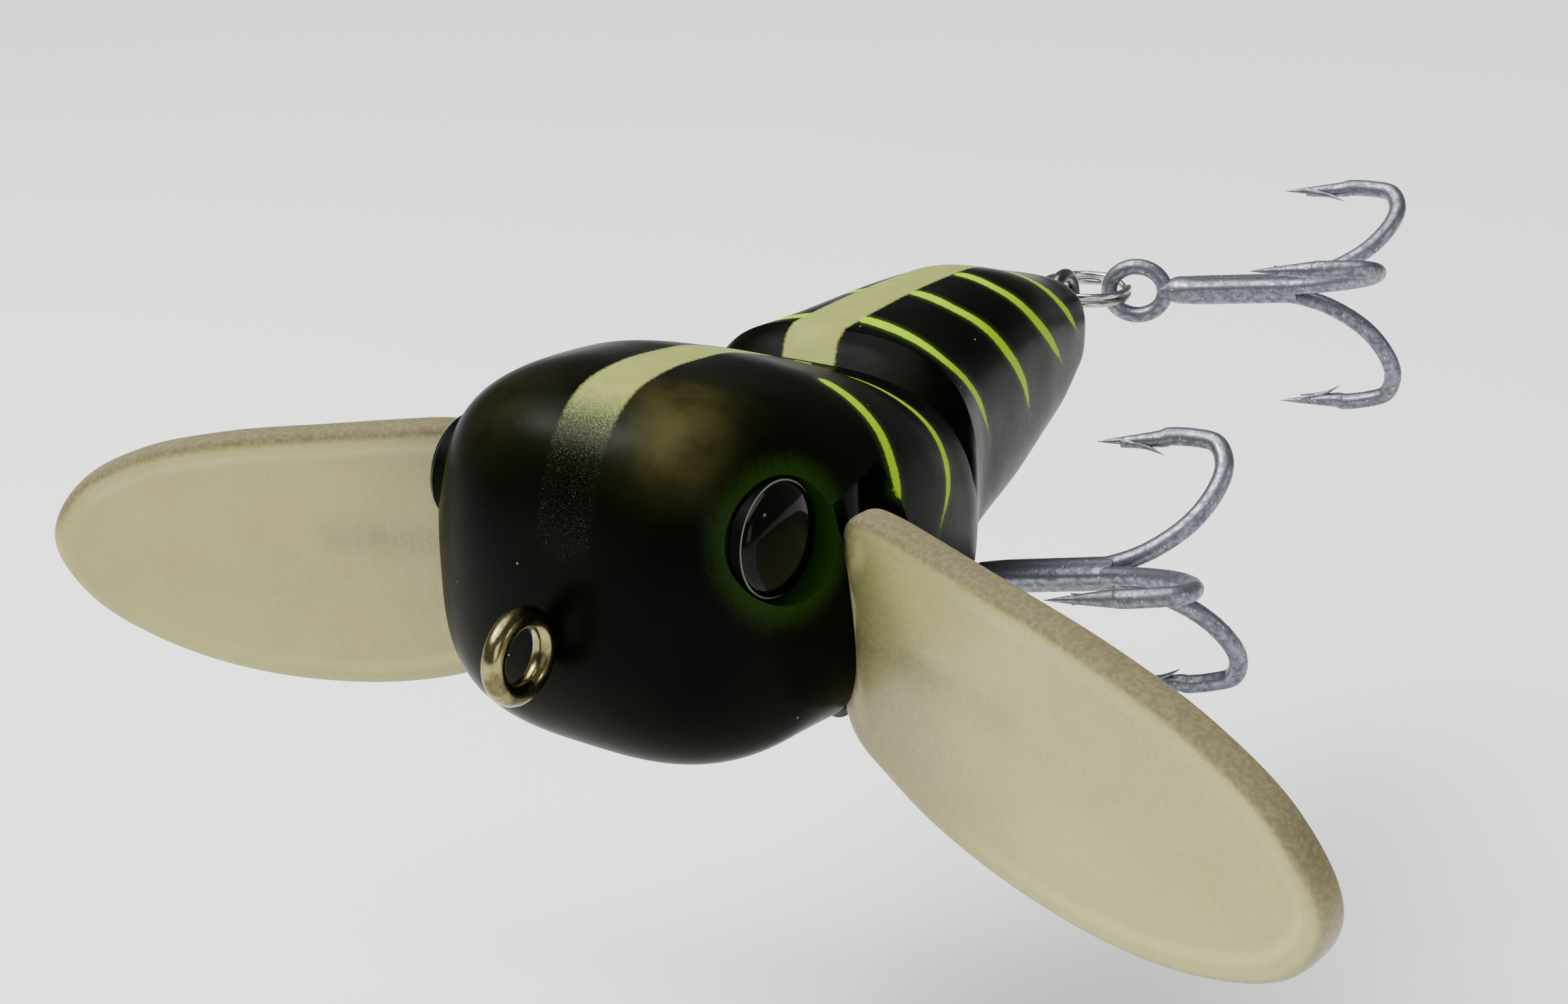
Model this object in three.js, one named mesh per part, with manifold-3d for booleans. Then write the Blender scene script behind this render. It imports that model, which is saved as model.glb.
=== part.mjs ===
// A surface fishing lure with two folding wings, a moulded two-shell body and two treble hooks.
// Millimetres and degrees. The nose points along -Y, the tail along +Y, the back along +Z, and the
// lure's left side is +X. The part's origin is the centre of the nose ring.
import * as THREE from "three";
import { mergeVertices } from "three/addons/utils/BufferGeometryUtils.js";
import Module from "manifold-3d";

const wasm = await Module();
wasm.setup();

// ---------------------------------------------------------------- driving dimensions

// Body, measured from the tip of the nose (y = 0) and the line through its widest part (z = 0)
const BODY_LENGTH = 99;
const BODY_HALF_WIDTH = 20.6;
const HEAD_HEIGHT = 18.9;
const CHIN_DEPTH = 16;
const NOSE_ROUND_SIDE = 16.7;
const NOSE_ROUND_TOP = 12.2;
const NOSE_ROUND_CHIN = 12.8;
const NOSE_TIP_Z = -1.5;
const TAIL_ROUND = 7;
const TAIL_TIP_Z = 2;
const SHELL_WALL = 2.4;
const SHOULDER_Y = 42.5;
const SHOULDER_NOTCH_DEPTH = 2.4;
const SHOULDER_NOTCH_LENGTH = 5;
const NOSE_BOSS_LENGTH = 15;
const TAIL_BOSS_LENGTH = 15;

// Outline of the body: share of the length, then shares of the half width, head height and chin depth
const WIDTHS = [
  [0, 0.93],
  [0.12, 0.947],
  [0.25, 1],
  [0.4, 0.927],
  [0.55, 0.65],
  [0.7, 0.544],
  [0.85, 0.442],
  [1, 0.33],
];
const TOPS = [
  [0, 1],
  [0.12, 1],
  [0.22, 0.952],
  [0.32, 0.8],
  [0.43, 0.59],
  [0.47, 0.7],
  [0.6, 0.718],
  [0.75, 0.686],
  [0.9, 0.486],
  [1, 0.36],
];
const BOTTOMS = [
  [0, 0.94],
  [0.12, 0.95],
  [0.25, 1],
  [0.4, 0.94],
  [0.55, 0.8],
  [0.7, 0.69],
  [0.85, 0.47],
  [1, 0.19],
];
const MIDDLE_SHARE = 0.42;
const TOP_SQUARENESS = 2.9;
const BOTTOM_SQUARENESS = 3;
const NOSE_SQUARENESS = 2.7;

// Running and seating gap between separate pieces, and the shortest edge left by a cut
const GAP = 0.3;
const SHORTEST_EDGE = 0.03;

// Eyes
const EYE_RADIUS = 5;
const EYE_Y = 9.5;
const EYE_Z = 8;
const EYE_SOCKET_DEPTH = 3;
const EYE_TURN = 5;
const EYE_LIFT = 3;
const IRIS_THICKNESS = 0.6;
const LENS_RIM = 0.3;
const LENS_DOME = 1.5;

// Wire hangers: an eye outside, a shank, and an anchor loop trapped between the shells
const NOSE_WIRE = 2;
const NOSE_RING_RADIUS = 3.3;
const NOSE_RING_REACH = 4;
const NOSE_RING_Z = -1;
const HANGER_WIRE = 1.7;
const HANGER_RING_RADIUS = 3.4;
const ANCHOR_RADIUS = 2.4;
const ANCHOR_SHANK = 2.6;
const BELLY_RING_Y = 49.3;
const BELLY_RING_DROP = 3.6;
const TAIL_RING_REACH = 3.6;
const TAIL_RING_Z = 2;

// Wings
const WING_LENGTH = 51.3;
const WING_HALF_HEIGHT = 14.8;
const WING_THICKNESS = 2.8;
const RIM_RADIUS = WING_THICKNESS / 2;
const RIM_STEPS = 80;
const DISH_DEPTH = 0.4;
const ROOT_HALF = 1.25;
const WING_SWEEP = 19;
const WING_DROOP = 2.5;
const WING_LEAN = 8.75;
const WING_FOLD = 55;
const HINGE_INSET = 5;
const HINGE_Y = 20.5;
const HINGE_Z = -5.6;
const HINGE_TO_ROOT = 2.4;
const KNUCKLE_RADIUS = 2.6;
const KNUCKLE_BOTTOM = -4.5;
const KNUCKLE_TOP = 9;
const ROOT_STEP = 12;
const ROOT_STEP_REACH = 4;
const ROOT_TOP = 14;
const ROOT_BOTTOM = -9.2;
const PIN_RADIUS = 0.8;
const PIN_BOTTOM = -6.6;
const PIN_TOP = 17.3;
const PIN_PLUG_LENGTH = 1.4;
const PIN_COLUMN_RADIUS = 5.2;
const POCKET_MOUTH = 11;
const POCKET_MARGIN = 1.8;
const STOP_TAB_THICKNESS = 1.4;
const STOP_TAB_AT = 9.4;
const STOP_TAB_WIDTH = 4;
const STOP_TAB_REACH = 4;
const STOP_TAB_HEIGHT = 7.5;

// Ballast
const BALLAST_RADIUS = 4.5;
const BALLAST_LENGTH = 17;
const BALLAST_Y = 30.5;
const BALLAST_WALL = 2;

// Split rings: two turns of wire
const SPLIT_RING_RADIUS = 5.4;
const SPLIT_WIRE = 0.86;
const SPLIT_TURNS = 1.82;
const SPLIT_RISE = 0.16;
const SPLIT_PLAY = 0.06;
const SPLIT_GAP_AT = 0.25;

// Treble hooks, measured from the centre of the eye
const HOOK_WIRE = 2;
const HOOK_EYE_RADIUS = 3.1;
const HOOK_EYE_STRETCH = 1.14;
const HOOK_PLAY = 1.3;
const HOOK_BEND_AT = 31.5;
const HOOK_SPREAD = 16.3;
const HOOK_TIP_AT = 16.7;
const HOOK_POINT_LENGTH = 7.5;
const HOOK_SHANK_RADIUS = 1.75;
const HOOK_BARB_AT = 5.2;
const HOOK_BARB_LENGTH = 2.6;

// How the trebles lie behind their split rings: swung to the left, raised, and rolled
const BELLY_HOOK = { yaw: 81, pitch: 11, roll: -43 };
const TAIL_HOOK = { yaw: 81, pitch: 7, roll: -52 };

// ---------------------------------------------------------------- helpers

const rad = THREE.MathUtils.degToRad;

// A smooth curve through [x, y] points that never overshoots them.
function smoothCurve(points) {
  const last = points.length - 1;
  const step = (i) => points[i + 1][0] - points[i][0];
  const rise = (i) => (points[i + 1][1] - points[i][1]) / step(i);
  const slopes = points.map((_, i) => {
    if (i === 0 || i === last) return 0;
    const [before, after] = [rise(i - 1), rise(i)];
    if (before * after <= 0) return 0;
    const [a, b] = [2 * step(i) + step(i - 1), step(i) + 2 * step(i - 1)];
    return (a + b) / (a / before + b / after);
  });
  return (x) => {
    let i = 0;
    while (i < last - 1 && x > points[i + 1][0]) i += 1;
    const h = step(i);
    const t = THREE.MathUtils.clamp((x - points[i][0]) / h, 0, 1);
    const [p0, p1] = [points[i][1], points[i + 1][1]];
    const hermite = p0 * (1 + 2 * t) * (1 - t) ** 2 + p1 * t * t * (3 - 2 * t);
    return hermite + h * (slopes[i] * t * (1 - t) ** 2 - slopes[i + 1] * t * t * (1 - t));
  };
}

// A quarter of a superellipse: 0 at t = 0, 1 at t = 1 and beyond.
function quarter(t, power) {
  const u = 1 - THREE.MathUtils.clamp(t, 0, 1);
  return (1 - u ** power) ** (1 / power);
}

function signedPower(value, power) {
  return Math.sign(value) * Math.abs(value) ** power;
}

// A closed solid through rings of points, with a fan at each end.
function loft(rings) {
  const count = rings[0].length;
  const centre = (ring) => ring.reduce((sum, p) => sum.add(p), new THREE.Vector3()).divideScalar(count);
  const points = [centre(rings[0]), ...rings.flat(), centre(rings[rings.length - 1])];
  const index = [];
  const at = (r, k) => 1 + r * count + (k % count);
  for (let k = 0; k < count; k += 1) {
    index.push(0, at(0, k), at(0, k + 1));
    index.push(points.length - 1, at(rings.length - 1, k + 1), at(rings.length - 1, k));
    for (let r = 0; r < rings.length - 1; r += 1) {
      index.push(at(r, k), at(r + 1, k), at(r + 1, k + 1));
      index.push(at(r, k), at(r + 1, k + 1), at(r, k + 1));
    }
  }
  const geometry = new THREE.BufferGeometry().setFromPoints(points);
  geometry.setIndex(index);
  return geometry;
}

// three.js geometry as a manifold-3d solid, and back again.
function toSolid(geometry) {
  const bare = geometry.clone();
  bare.deleteAttribute("normal");
  bare.deleteAttribute("uv");
  const merged = mergeVertices(bare, 1e-4);
  return new wasm.Manifold(
    new wasm.Mesh({
      numProp: 3,
      vertProperties: new Float32Array(merged.attributes.position.array),
      triVerts: new Uint32Array(merged.index.array),
    }),
  );
}

function toGeometry(solid) {
  const mesh = solid.simplify(SHORTEST_EDGE).getMesh();
  const geometry = new THREE.BufferGeometry();
  geometry.setAttribute("position", new THREE.BufferAttribute(new Float32Array(mesh.vertProperties), 3));
  geometry.setIndex(new THREE.BufferAttribute(new Uint32Array(mesh.triVerts), 1));
  const flat = geometry.toNonIndexed();
  flat.computeVertexNormals();
  return flat;
}

const joined = (geometries) => geometries.map(toSolid).reduce((whole, next) => whole.add(next));

function cutBy(solid, geometries) {
  return geometries.map(toSolid).reduce((whole, next) => whole.subtract(next), solid);
}

function placed(geometry, matrix) {
  return geometry.clone().applyMatrix4(matrix);
}

function cylinder(radius, low, high, sides = 24) {
  return new THREE.CylinderGeometry(radius, radius, high - low, sides).translate(0, (low + high) / 2, 0);
}

function box(low, high) {
  const size = high.map((value, i) => value - low[i]);
  const middle = high.map((value, i) => (value + low[i]) / 2);
  return new THREE.BoxGeometry(...size).translate(...middle);
}

function tube(path, radius, steps, sides = 8) {
  const section = new THREE.Shape().absarc(0, 0, radius, 0, Math.PI * 2);
  return new THREE.ExtrudeGeometry(section, { steps, extrudePath: path, curveSegments: sides / 2 });
}

// A ring of round section along a closed flat curve.
function closedTube(path, radius, steps, sides = 8) {
  const frames = path.computeFrenetFrames(steps, true);
  const points = [];
  const index = [];
  const at = (i, k) => (i % steps) * sides + (k % sides);
  for (let i = 0; i < steps; i += 1) {
    for (let k = 0; k < sides; k += 1) {
      const angle = (k / sides) * Math.PI * 2;
      const point = path.getPointAt(i / steps);
      point.addScaledVector(frames.normals[i], radius * Math.cos(angle));
      points.push(point.addScaledVector(frames.binormals[i], radius * Math.sin(angle)));
      index.push(at(i, k), at(i + 1, k + 1), at(i + 1, k), at(i, k), at(i, k + 1), at(i + 1, k + 1));
    }
  }
  const geometry = new THREE.BufferGeometry().setFromPoints(points);
  geometry.setIndex(index);
  return geometry;
}

// ---------------------------------------------------------------- body

const widthAt = smoothCurve(WIDTHS);
const topAt = smoothCurve(TOPS);
const bottomAt = smoothCurve(BOTTOMS);

// Half width, top, bottom and middle height of the body across y, taken in by an inset.
function hullSection(y, inset = 0) {
  const share = y / BODY_LENGTH;
  const fromTail = (BODY_LENGTH - y) / TAIL_ROUND;
  const tail = quarter(fromTail, 2);
  const rounds = [NOSE_ROUND_SIDE, NOSE_ROUND_TOP, NOSE_ROUND_CHIN];
  const [sideRound, topRound, chinRound] = rounds.map((r) => quarter(y / r, NOSE_SQUARENESS));
  const width = BODY_HALF_WIDTH * widthAt(share) * sideRound * tail;
  const fullTop = NOSE_TIP_Z + (HEAD_HEIGHT * topAt(share) - NOSE_TIP_Z) * topRound;
  const fullBottom = NOSE_TIP_Z - (CHIN_DEPTH * bottomAt(share) + NOSE_TIP_Z) * chinRound;
  const top = TAIL_TIP_Z + (fullTop - TAIL_TIP_Z) * tail - inset;
  const bottom = TAIL_TIP_Z + (fullBottom - TAIL_TIP_Z) * tail + inset;
  return { width: width - inset, top, bottom, middle: bottom + (top - bottom) * MIDDLE_SHARE };
}

// How deep the crease behind the shoulder is at y and around the section.
function notchDepth(y, rise) {
  const t = (y - SHOULDER_Y) / SHOULDER_NOTCH_LENGTH;
  if (t <= 0 || t >= 1) return 0;
  const along = t < 0.25 ? t / 0.25 : (1 - t) / 0.75;
  const around = THREE.MathUtils.smoothstep(rise, 0.1, 0.6);
  return SHOULDER_NOTCH_DEPTH * along * around;
}

function hullPoint(y, angle, inset = 0) {
  const { width, top, bottom, middle } = hullSection(y, inset);
  const [across, rise] = [Math.cos(angle), Math.sin(angle)];
  const power = 2 / (rise >= 0 ? TOP_SQUARENESS : BOTTOM_SQUARENESS);
  const reach = rise >= 0 ? top - middle : middle - bottom;
  const x = width * signedPower(across, power);
  const z = reach * signedPower(rise, power);
  const radius = Math.hypot(x, z);
  const shrink = radius > 0 ? 1 - notchDepth(y, rise) / radius : 1;
  return new THREE.Vector3(x * shrink, y, middle + z * shrink);
}

// Half width of the body at a height, and its lowest point under the centre line.
function hullSide(y, z) {
  const { width, top, bottom, middle } = hullSection(y);
  const above = z >= middle;
  const reach = above ? top - middle : middle - bottom;
  const power = above ? TOP_SQUARENESS : BOTTOM_SQUARENESS;
  return width * (1 - Math.min(1, Math.abs(z - middle) / reach) ** power) ** (1 / power);
}

const SECTION_POINTS = 36;

function hullSolid(stations, inset = 0) {
  const turn = (Math.PI * 2) / SECTION_POINTS;
  const ring = (y) => Array.from({ length: SECTION_POINTS }, (_, k) => hullPoint(y, k * turn, inset));
  return toSolid(loft(stations.map(ring)));
}

function hullStations() {
  const nose = [0.01, 0.12, 0.4, 0.9, 1.6, 2.6, 4, 5.8, 8, 10.6, 13.6, 17];
  const crease = [-7, -3.5, -1.2, 0, 0.6, 1.25, 2.2, 3.6, SHOULDER_NOTCH_LENGTH];
  const shoulder = crease.map((d) => SHOULDER_Y + d);
  const tail = [0.01, 0.1, 0.35, 0.8, 1.5, 2.4, 3.6, 5.2, 7].map((d) => BODY_LENGTH - d).reverse();
  const between = (low, high, count) =>
    Array.from({ length: count }, (_, i) => low + ((high - low) * (i + 1)) / (count + 1));
  return [
    ...nose,
    ...between(17, shoulder[0], 3),
    ...shoulder,
    ...between(shoulder[shoulder.length - 1], tail[0], 6),
    ...tail,
  ];
}

// ---------------------------------------------------------------- wing frame

// The blade lies in the plane of outward and up; up is also the hinge axis.
function wingFrame() {
  const [sweep, droop, lean] = [rad(WING_SWEEP), rad(WING_DROOP), rad(WING_LEAN)];
  const outward = new THREE.Vector3(
    Math.cos(sweep) * Math.cos(droop),
    -Math.sin(sweep) * Math.cos(droop),
    -Math.sin(droop),
  );
  const upright = new THREE.Vector3(0, 0, 1).addScaledVector(outward, -outward.z).normalize();
  const front = new THREE.Vector3().crossVectors(outward, upright);
  const up = upright.multiplyScalar(Math.cos(lean)).addScaledVector(front, Math.sin(lean));
  const hinge = new THREE.Vector3(hullSide(HINGE_Y, HINGE_Z) - HINGE_INSET, HINGE_Y, HINGE_Z);
  const forward = new THREE.Vector3().crossVectors(outward, up);
  return new THREE.Matrix4().makeBasis(outward, up, forward).setPosition(hinge);
}

const WING_PLACE = wingFrame();

// Extrudes a plan drawn in outward and backward coordinates between two heights of the hinge axis.
function planSolid(shape, low, high) {
  const options = { depth: high - low, bevelEnabled: false, curveSegments: 8 };
  return new THREE.ExtrudeGeometry(shape, options).rotateX(-Math.PI / 2).translate(0, low, 0);
}

// The room that the knuckle and the blade's root sweep in the side of the body. A collar of the
// body is left round the pin above and below the knuckle, wider beside the step in the root.
function wingPocket() {
  const half = RIM_RADIUS + GAP + 0.2;
  const fold = rad(WING_FOLD);
  const [out, back] = [Math.cos(fold), Math.sin(fold)];
  const mouth = new THREE.Shape([
    new THREE.Vector2(0, -half),
    new THREE.Vector2(POCKET_MOUTH, -half),
    new THREE.Vector2(Math.cos(fold / 2), Math.sin(fold / 2)).multiplyScalar(POCKET_MOUTH * 1.1),
    new THREE.Vector2(POCKET_MOUTH * out - half * back, POCKET_MOUTH * back + half * out),
    new THREE.Vector2(-half * back, half * out),
  ]);
  const [low, high] = [ROOT_BOTTOM - POCKET_MARGIN, ROOT_TOP + POCKET_MARGIN];
  const collar = HINGE_TO_ROOT - GAP - 0.1;
  const swept = cutBy(toSolid(planSolid(mouth, low, high)), [
    cylinder(collar, low - 1, KNUCKLE_BOTTOM - GAP),
    cylinder(collar, KNUCKLE_TOP + GAP, high + 1),
    cylinder(ROOT_STEP_REACH - GAP - 0.1, ROOT_STEP, high + 1),
  ]);
  const knuckleRoom = toSolid(cylinder(KNUCKLE_RADIUS + GAP, KNUCKLE_BOTTOM - GAP, KNUCKLE_TOP + GAP));
  return swept.add(knuckleRoom).transform(WING_PLACE.elements);
}

// ---------------------------------------------------------------- eyes

function eyePlace() {
  const [turn, lift] = [rad(EYE_TURN), rad(EYE_LIFT)];
  const outward = new THREE.Vector3(
    Math.cos(turn) * Math.cos(lift),
    -Math.sin(turn) * Math.cos(lift),
    Math.sin(lift),
  );
  const turned = new THREE.Quaternion().setFromUnitVectors(new THREE.Vector3(0, 1, 0), outward);
  const seat = new THREE.Vector3(hullSide(EYE_Y, EYE_Z), EYE_Y, EYE_Z);
  seat.addScaledVector(outward, -EYE_SOCKET_DEPTH);
  return new THREE.Matrix4().compose(seat, turned, new THREE.Vector3(1, 1, 1));
}

const EYE_PLACE = eyePlace();
const EYE_MOUTH = 9;
const eyeSocket = () => placed(cylinder(EYE_RADIUS + GAP, 0, EYE_MOUTH, 32), EYE_PLACE);
const irisDisc = () => placed(cylinder(EYE_RADIUS, GAP, GAP + IRIS_THICKNESS, 32), EYE_PLACE);

function eyeLens() {
  const base = GAP + IRIS_THICKNESS + GAP;
  const profile = [new THREE.Vector2(0, base), new THREE.Vector2(EYE_RADIUS, base)];
  const rings = 6;
  for (let i = 0; i <= rings; i += 1) {
    const angle = (i / rings) * (Math.PI / 2);
    const height = base + LENS_RIM + LENS_DOME * Math.sin(angle);
    profile.push(new THREE.Vector2(EYE_RADIUS * Math.cos(angle), height));
  }
  profile[profile.length - 1].x = 0;
  return placed(new THREE.LatheGeometry(profile, 32), EYE_PLACE);
}

// ---------------------------------------------------------------- wire hangers

// Eye, shank and anchor loop in the plane x = 0, with the eye at the origin and the shank along +Y.
function hangerSolid(ringRadius, wire, grow = 0) {
  const radius = wire / 2 + grow;
  const anchorY = ringRadius + ANCHOR_SHANK + ANCHOR_RADIUS;
  const ring = (r, y) => new THREE.TorusGeometry(r, radius, 8, 20).rotateY(Math.PI / 2).translate(0, y, 0);
  const shank = cylinder(radius, ringRadius, anchorY - ANCHOR_RADIUS, 12);
  return joined([ring(ringRadius, 0), shank, ring(ANCHOR_RADIUS, anchorY)]);
}

const bellyRingZ = hullSection(BELLY_RING_Y).bottom - BELLY_RING_DROP;
const NOSE_PLACE = new THREE.Matrix4().makeTranslation(0, -NOSE_RING_REACH, NOSE_RING_Z);
const BELLY_PLACE = new THREE.Matrix4().makeRotationX(Math.PI / 2).setPosition(0, BELLY_RING_Y, bellyRingZ);
const TAIL_PLACE = new THREE.Matrix4()
  .makeRotationX(Math.PI)
  .setPosition(0, BODY_LENGTH + TAIL_RING_REACH, TAIL_RING_Z);

const hookHanger = (grow) => hangerSolid(HANGER_RING_RADIUS, HANGER_WIRE, grow);
const noseHanger = (grow) => hangerSolid(NOSE_RING_RADIUS, NOSE_WIRE, grow).transform(NOSE_PLACE.elements);
const bellyHanger = (grow) => hookHanger(grow).transform(BELLY_PLACE.elements);
const tailHanger = (grow) => hookHanger(grow).transform(TAIL_PLACE.elements);

// ---------------------------------------------------------------- ballast

const ballastZ = hullSection(BALLAST_Y).bottom + SHELL_WALL + BALLAST_RADIUS;

function ballastSlug(grow = 0) {
  const half = BALLAST_LENGTH / 2 + grow;
  return cylinder(BALLAST_RADIUS + grow, -half, half, 28).translate(0, BALLAST_Y, ballastZ);
}

// ---------------------------------------------------------------- body shells

// The left shell: half of the hollow hull with its bosses, cradle, pockets, sockets and grooves.
function leftShell() {
  const stations = hullStations();
  const [front, back] = [NOSE_BOSS_LENGTH, BODY_LENGTH - TAIL_BOSS_LENGTH];
  const inside = stations.filter((y) => y > front && y < back);
  const cradle = BALLAST_LENGTH / 2 + BALLAST_WALL;
  const cradleReach = BALLAST_RADIUS + BALLAST_WALL;
  const boss = ANCHOR_RADIUS + HANGER_WIRE / 2 + BALLAST_WALL;
  const anchorTop = bellyRingZ + HANGER_RING_RADIUS + ANCHOR_SHANK + 2 * ANCHOR_RADIUS;
  const bossTop = anchorTop + HANGER_WIRE + BALLAST_WALL;
  const floor = -2 * CHIN_DEPTH;
  const cavity = cutBy(hullSolid([front, ...inside, back], SHELL_WALL), [
    box([-cradleReach, BALLAST_Y - cradle, floor], [cradleReach, BALLAST_Y + cradle, ballastZ]),
    box([-boss, BELLY_RING_Y - boss, floor], [boss, BELLY_RING_Y + boss, bossTop]),
    placed(cylinder(PIN_COLUMN_RADIUS, PIN_BOTTOM - 9, PIN_TOP + 9, 20), WING_PLACE),
  ]);
  const leftHalf = box([0, -BODY_LENGTH, -BODY_LENGTH], [BODY_LENGTH, 2 * BODY_LENGTH, BODY_LENGTH]);
  const shell = hullSolid(stations).subtract(cavity).intersect(toSolid(leftHalf));
  return cutBy(shell.subtract(wingPocket()), [
    placed(cylinder(PIN_RADIUS + GAP, PIN_BOTTOM - 12, PIN_TOP + GAP, 20), WING_PLACE),
    eyeSocket(),
    ballastSlug(GAP),
  ])
    .subtract(noseHanger(GAP))
    .subtract(bellyHanger(GAP))
    .subtract(tailHanger(GAP));
}

// ---------------------------------------------------------------- wing

// The middle of the blade's rim, as shares of its length outward and its half height up.
const BLADE_RIM = [
  [0.027, 0.55],
  [0.036, 0.66],
  [0.061, 0.77],
  [0.066, 0.87],
  [0.086, 0.93],
  [0.13, 0.945],
  [0.2, 0.93],
  [0.35, 0.882],
  [0.585, 0.797],
  [0.766, 0.655],
  [0.904, 0.405],
  [0.973, 0.034],
  [0.93, -0.345],
  [0.803, -0.655],
  [0.618, -0.858],
  [0.394, -0.905],
  [0.205, -0.804],
  [0.097, -0.649],
  [0.047, -0.554],
  [0.027, -0.432],
  [0.027, 0.07],
];

function rimPath() {
  const points = BLADE_RIM.map(
    ([out, up]) => new THREE.Vector3(HINGE_TO_ROOT + out * WING_LENGTH, up * WING_HALF_HEIGHT, 0),
  );
  return new THREE.CatmullRomCurve3(points, true, "centripetal");
}

// A small web behind the blade that meets the body's side when the wing is folded.
function stopTab() {
  const [inner, outer] = [STOP_TAB_AT, STOP_TAB_AT + STOP_TAB_WIDTH];
  const shape = new THREE.Shape();
  shape.moveTo(inner, 0);
  shape.lineTo(outer + 1, 0);
  shape.quadraticCurveTo(outer, STOP_TAB_REACH * 0.4, outer, STOP_TAB_REACH * 0.7);
  shape.quadraticCurveTo(outer, STOP_TAB_REACH, outer - STOP_TAB_WIDTH * 0.3, STOP_TAB_REACH);
  shape.lineTo(inner, STOP_TAB_REACH);
  const half = STOP_TAB_THICKNESS / 2;
  return planSolid(shape, STOP_TAB_HEIGHT - half, STOP_TAB_HEIGHT + half);
}

function wingSolid() {
  const path = rimPath();
  const outline = path.getSpacedPoints(RIM_STEPS).map((p) => new THREE.Vector2(p.x, p.y));
  const web = WING_THICKNESS - 2 * DISH_DEPTH;
  const flat = new THREE.Shape(outline.slice(1));
  const plate = new THREE.ExtrudeGeometry(flat, { depth: web, bevelEnabled: false });
  plate.translate(0, 0, -web / 2);
  const rim = closedTube(path, RIM_RADIUS, RIM_STEPS);
  const knuckle = cylinder(KNUCKLE_RADIUS, KNUCKLE_BOTTOM, KNUCKLE_TOP);
  const rootOuter = HINGE_TO_ROOT + RIM_RADIUS + 1.1;
  const root = box([0, KNUCKLE_BOTTOM + GAP, -ROOT_HALF], [rootOuter, KNUCKLE_TOP - GAP, ROOT_HALF]);
  const bore = cylinder(PIN_RADIUS + GAP, KNUCKLE_BOTTOM - 1, ROOT_TOP + 1, 16);
  return cutBy(joined([plate, rim, root, knuckle, stopTab()]), [bore]);
}

const hingePin = () => cylinder(PIN_RADIUS, PIN_BOTTOM, PIN_TOP, 16);
const plugTop = PIN_BOTTOM - GAP;
const pinPlug = () => cylinder(PIN_RADIUS + GAP / 2, plugTop - PIN_PLUG_LENGTH, plugTop, 16);

// ---------------------------------------------------------------- split rings and trebles

// Two flat turns, one on the other, joined by a short rise before the wire comes round again.
class SplitRingCurve extends THREE.Curve {
  getPoint(t, target = new THREE.Vector3()) {
    const turns = t * SPLIT_TURNS;
    const angle = (turns + SPLIT_GAP_AT) * Math.PI * 2;
    const rise = THREE.MathUtils.smoothstep(turns, 1 - SPLIT_RISE, 0.98) - 0.5;
    return target.set(
      SPLIT_RING_RADIUS * Math.cos(angle),
      SPLIT_RING_RADIUS * Math.sin(angle),
      rise * (SPLIT_WIRE + SPLIT_PLAY),
    );
  }
}

const splitRing = () => tube(new SplitRingCurve(), SPLIT_WIRE / 2, 56, 8);

// One prong in the plane of the shank (Y) and outward (Z): flare, round bend, straight point.
function prongPath() {
  const spread = HOOK_SPREAD - HOOK_WIRE / 2;
  const bend = HOOK_BEND_AT - HOOK_WIRE / 2;
  const points = [
    [HOOK_TIP_AT - 2.5, 0.6],
    [HOOK_TIP_AT + 1.8, 0.9],
    [bend - 7.6, 2.3],
    [bend - 3.2, 5.4],
    [bend - 0.7, 9],
    [bend, 11.8],
    [bend - 0.9, 14.2],
    [bend - 3.1, spread - 0.3],
    [bend - 6.2, spread],
    [HOOK_TIP_AT + HOOK_POINT_LENGTH, spread - 0.1],
  ];
  return new THREE.CatmullRomCurve3(points.map(([y, z]) => new THREE.Vector3(0, y, z)));
}

function trebleSolid(roll) {
  const radius = HOOK_WIRE / 2;
  const eye = new THREE.TorusGeometry(HOOK_EYE_RADIUS, radius, 8, 20).rotateY(Math.PI / 2);
  eye.scale(1, HOOK_EYE_STRETCH, 1);
  const eyeEnd = HOOK_EYE_RADIUS * HOOK_EYE_STRETCH;
  const shank = cylinder(HOOK_SHANK_RADIUS, eyeEnd, HOOK_TIP_AT + 2, 16);
  const spread = HOOK_SPREAD - radius;
  const point = new THREE.CylinderGeometry(radius, 0.08, HOOK_POINT_LENGTH, 10);
  point.translate(0, HOOK_TIP_AT + HOOK_POINT_LENGTH / 2, spread - 0.1);
  const barb = new THREE.ConeGeometry(0.5, HOOK_BARB_LENGTH, 6).translate(0, HOOK_BARB_LENGTH / 2, 0);
  barb.rotateX(rad(-24)).translate(0, HOOK_TIP_AT + HOOK_BARB_AT - HOOK_BARB_LENGTH / 2, spread - 0.75);
  const prong = joined([tube(prongPath(), radius, 30, 8), point, barb]);
  const prongs = [0, 120, 240].map((turn) => {
    const turned = new THREE.Matrix4().makeRotationY(rad(roll - turn));
    return prong.transform(turned.elements);
  });
  return prongs.reduce((whole, next) => whole.add(next), joined([eye, shank]));
}

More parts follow.
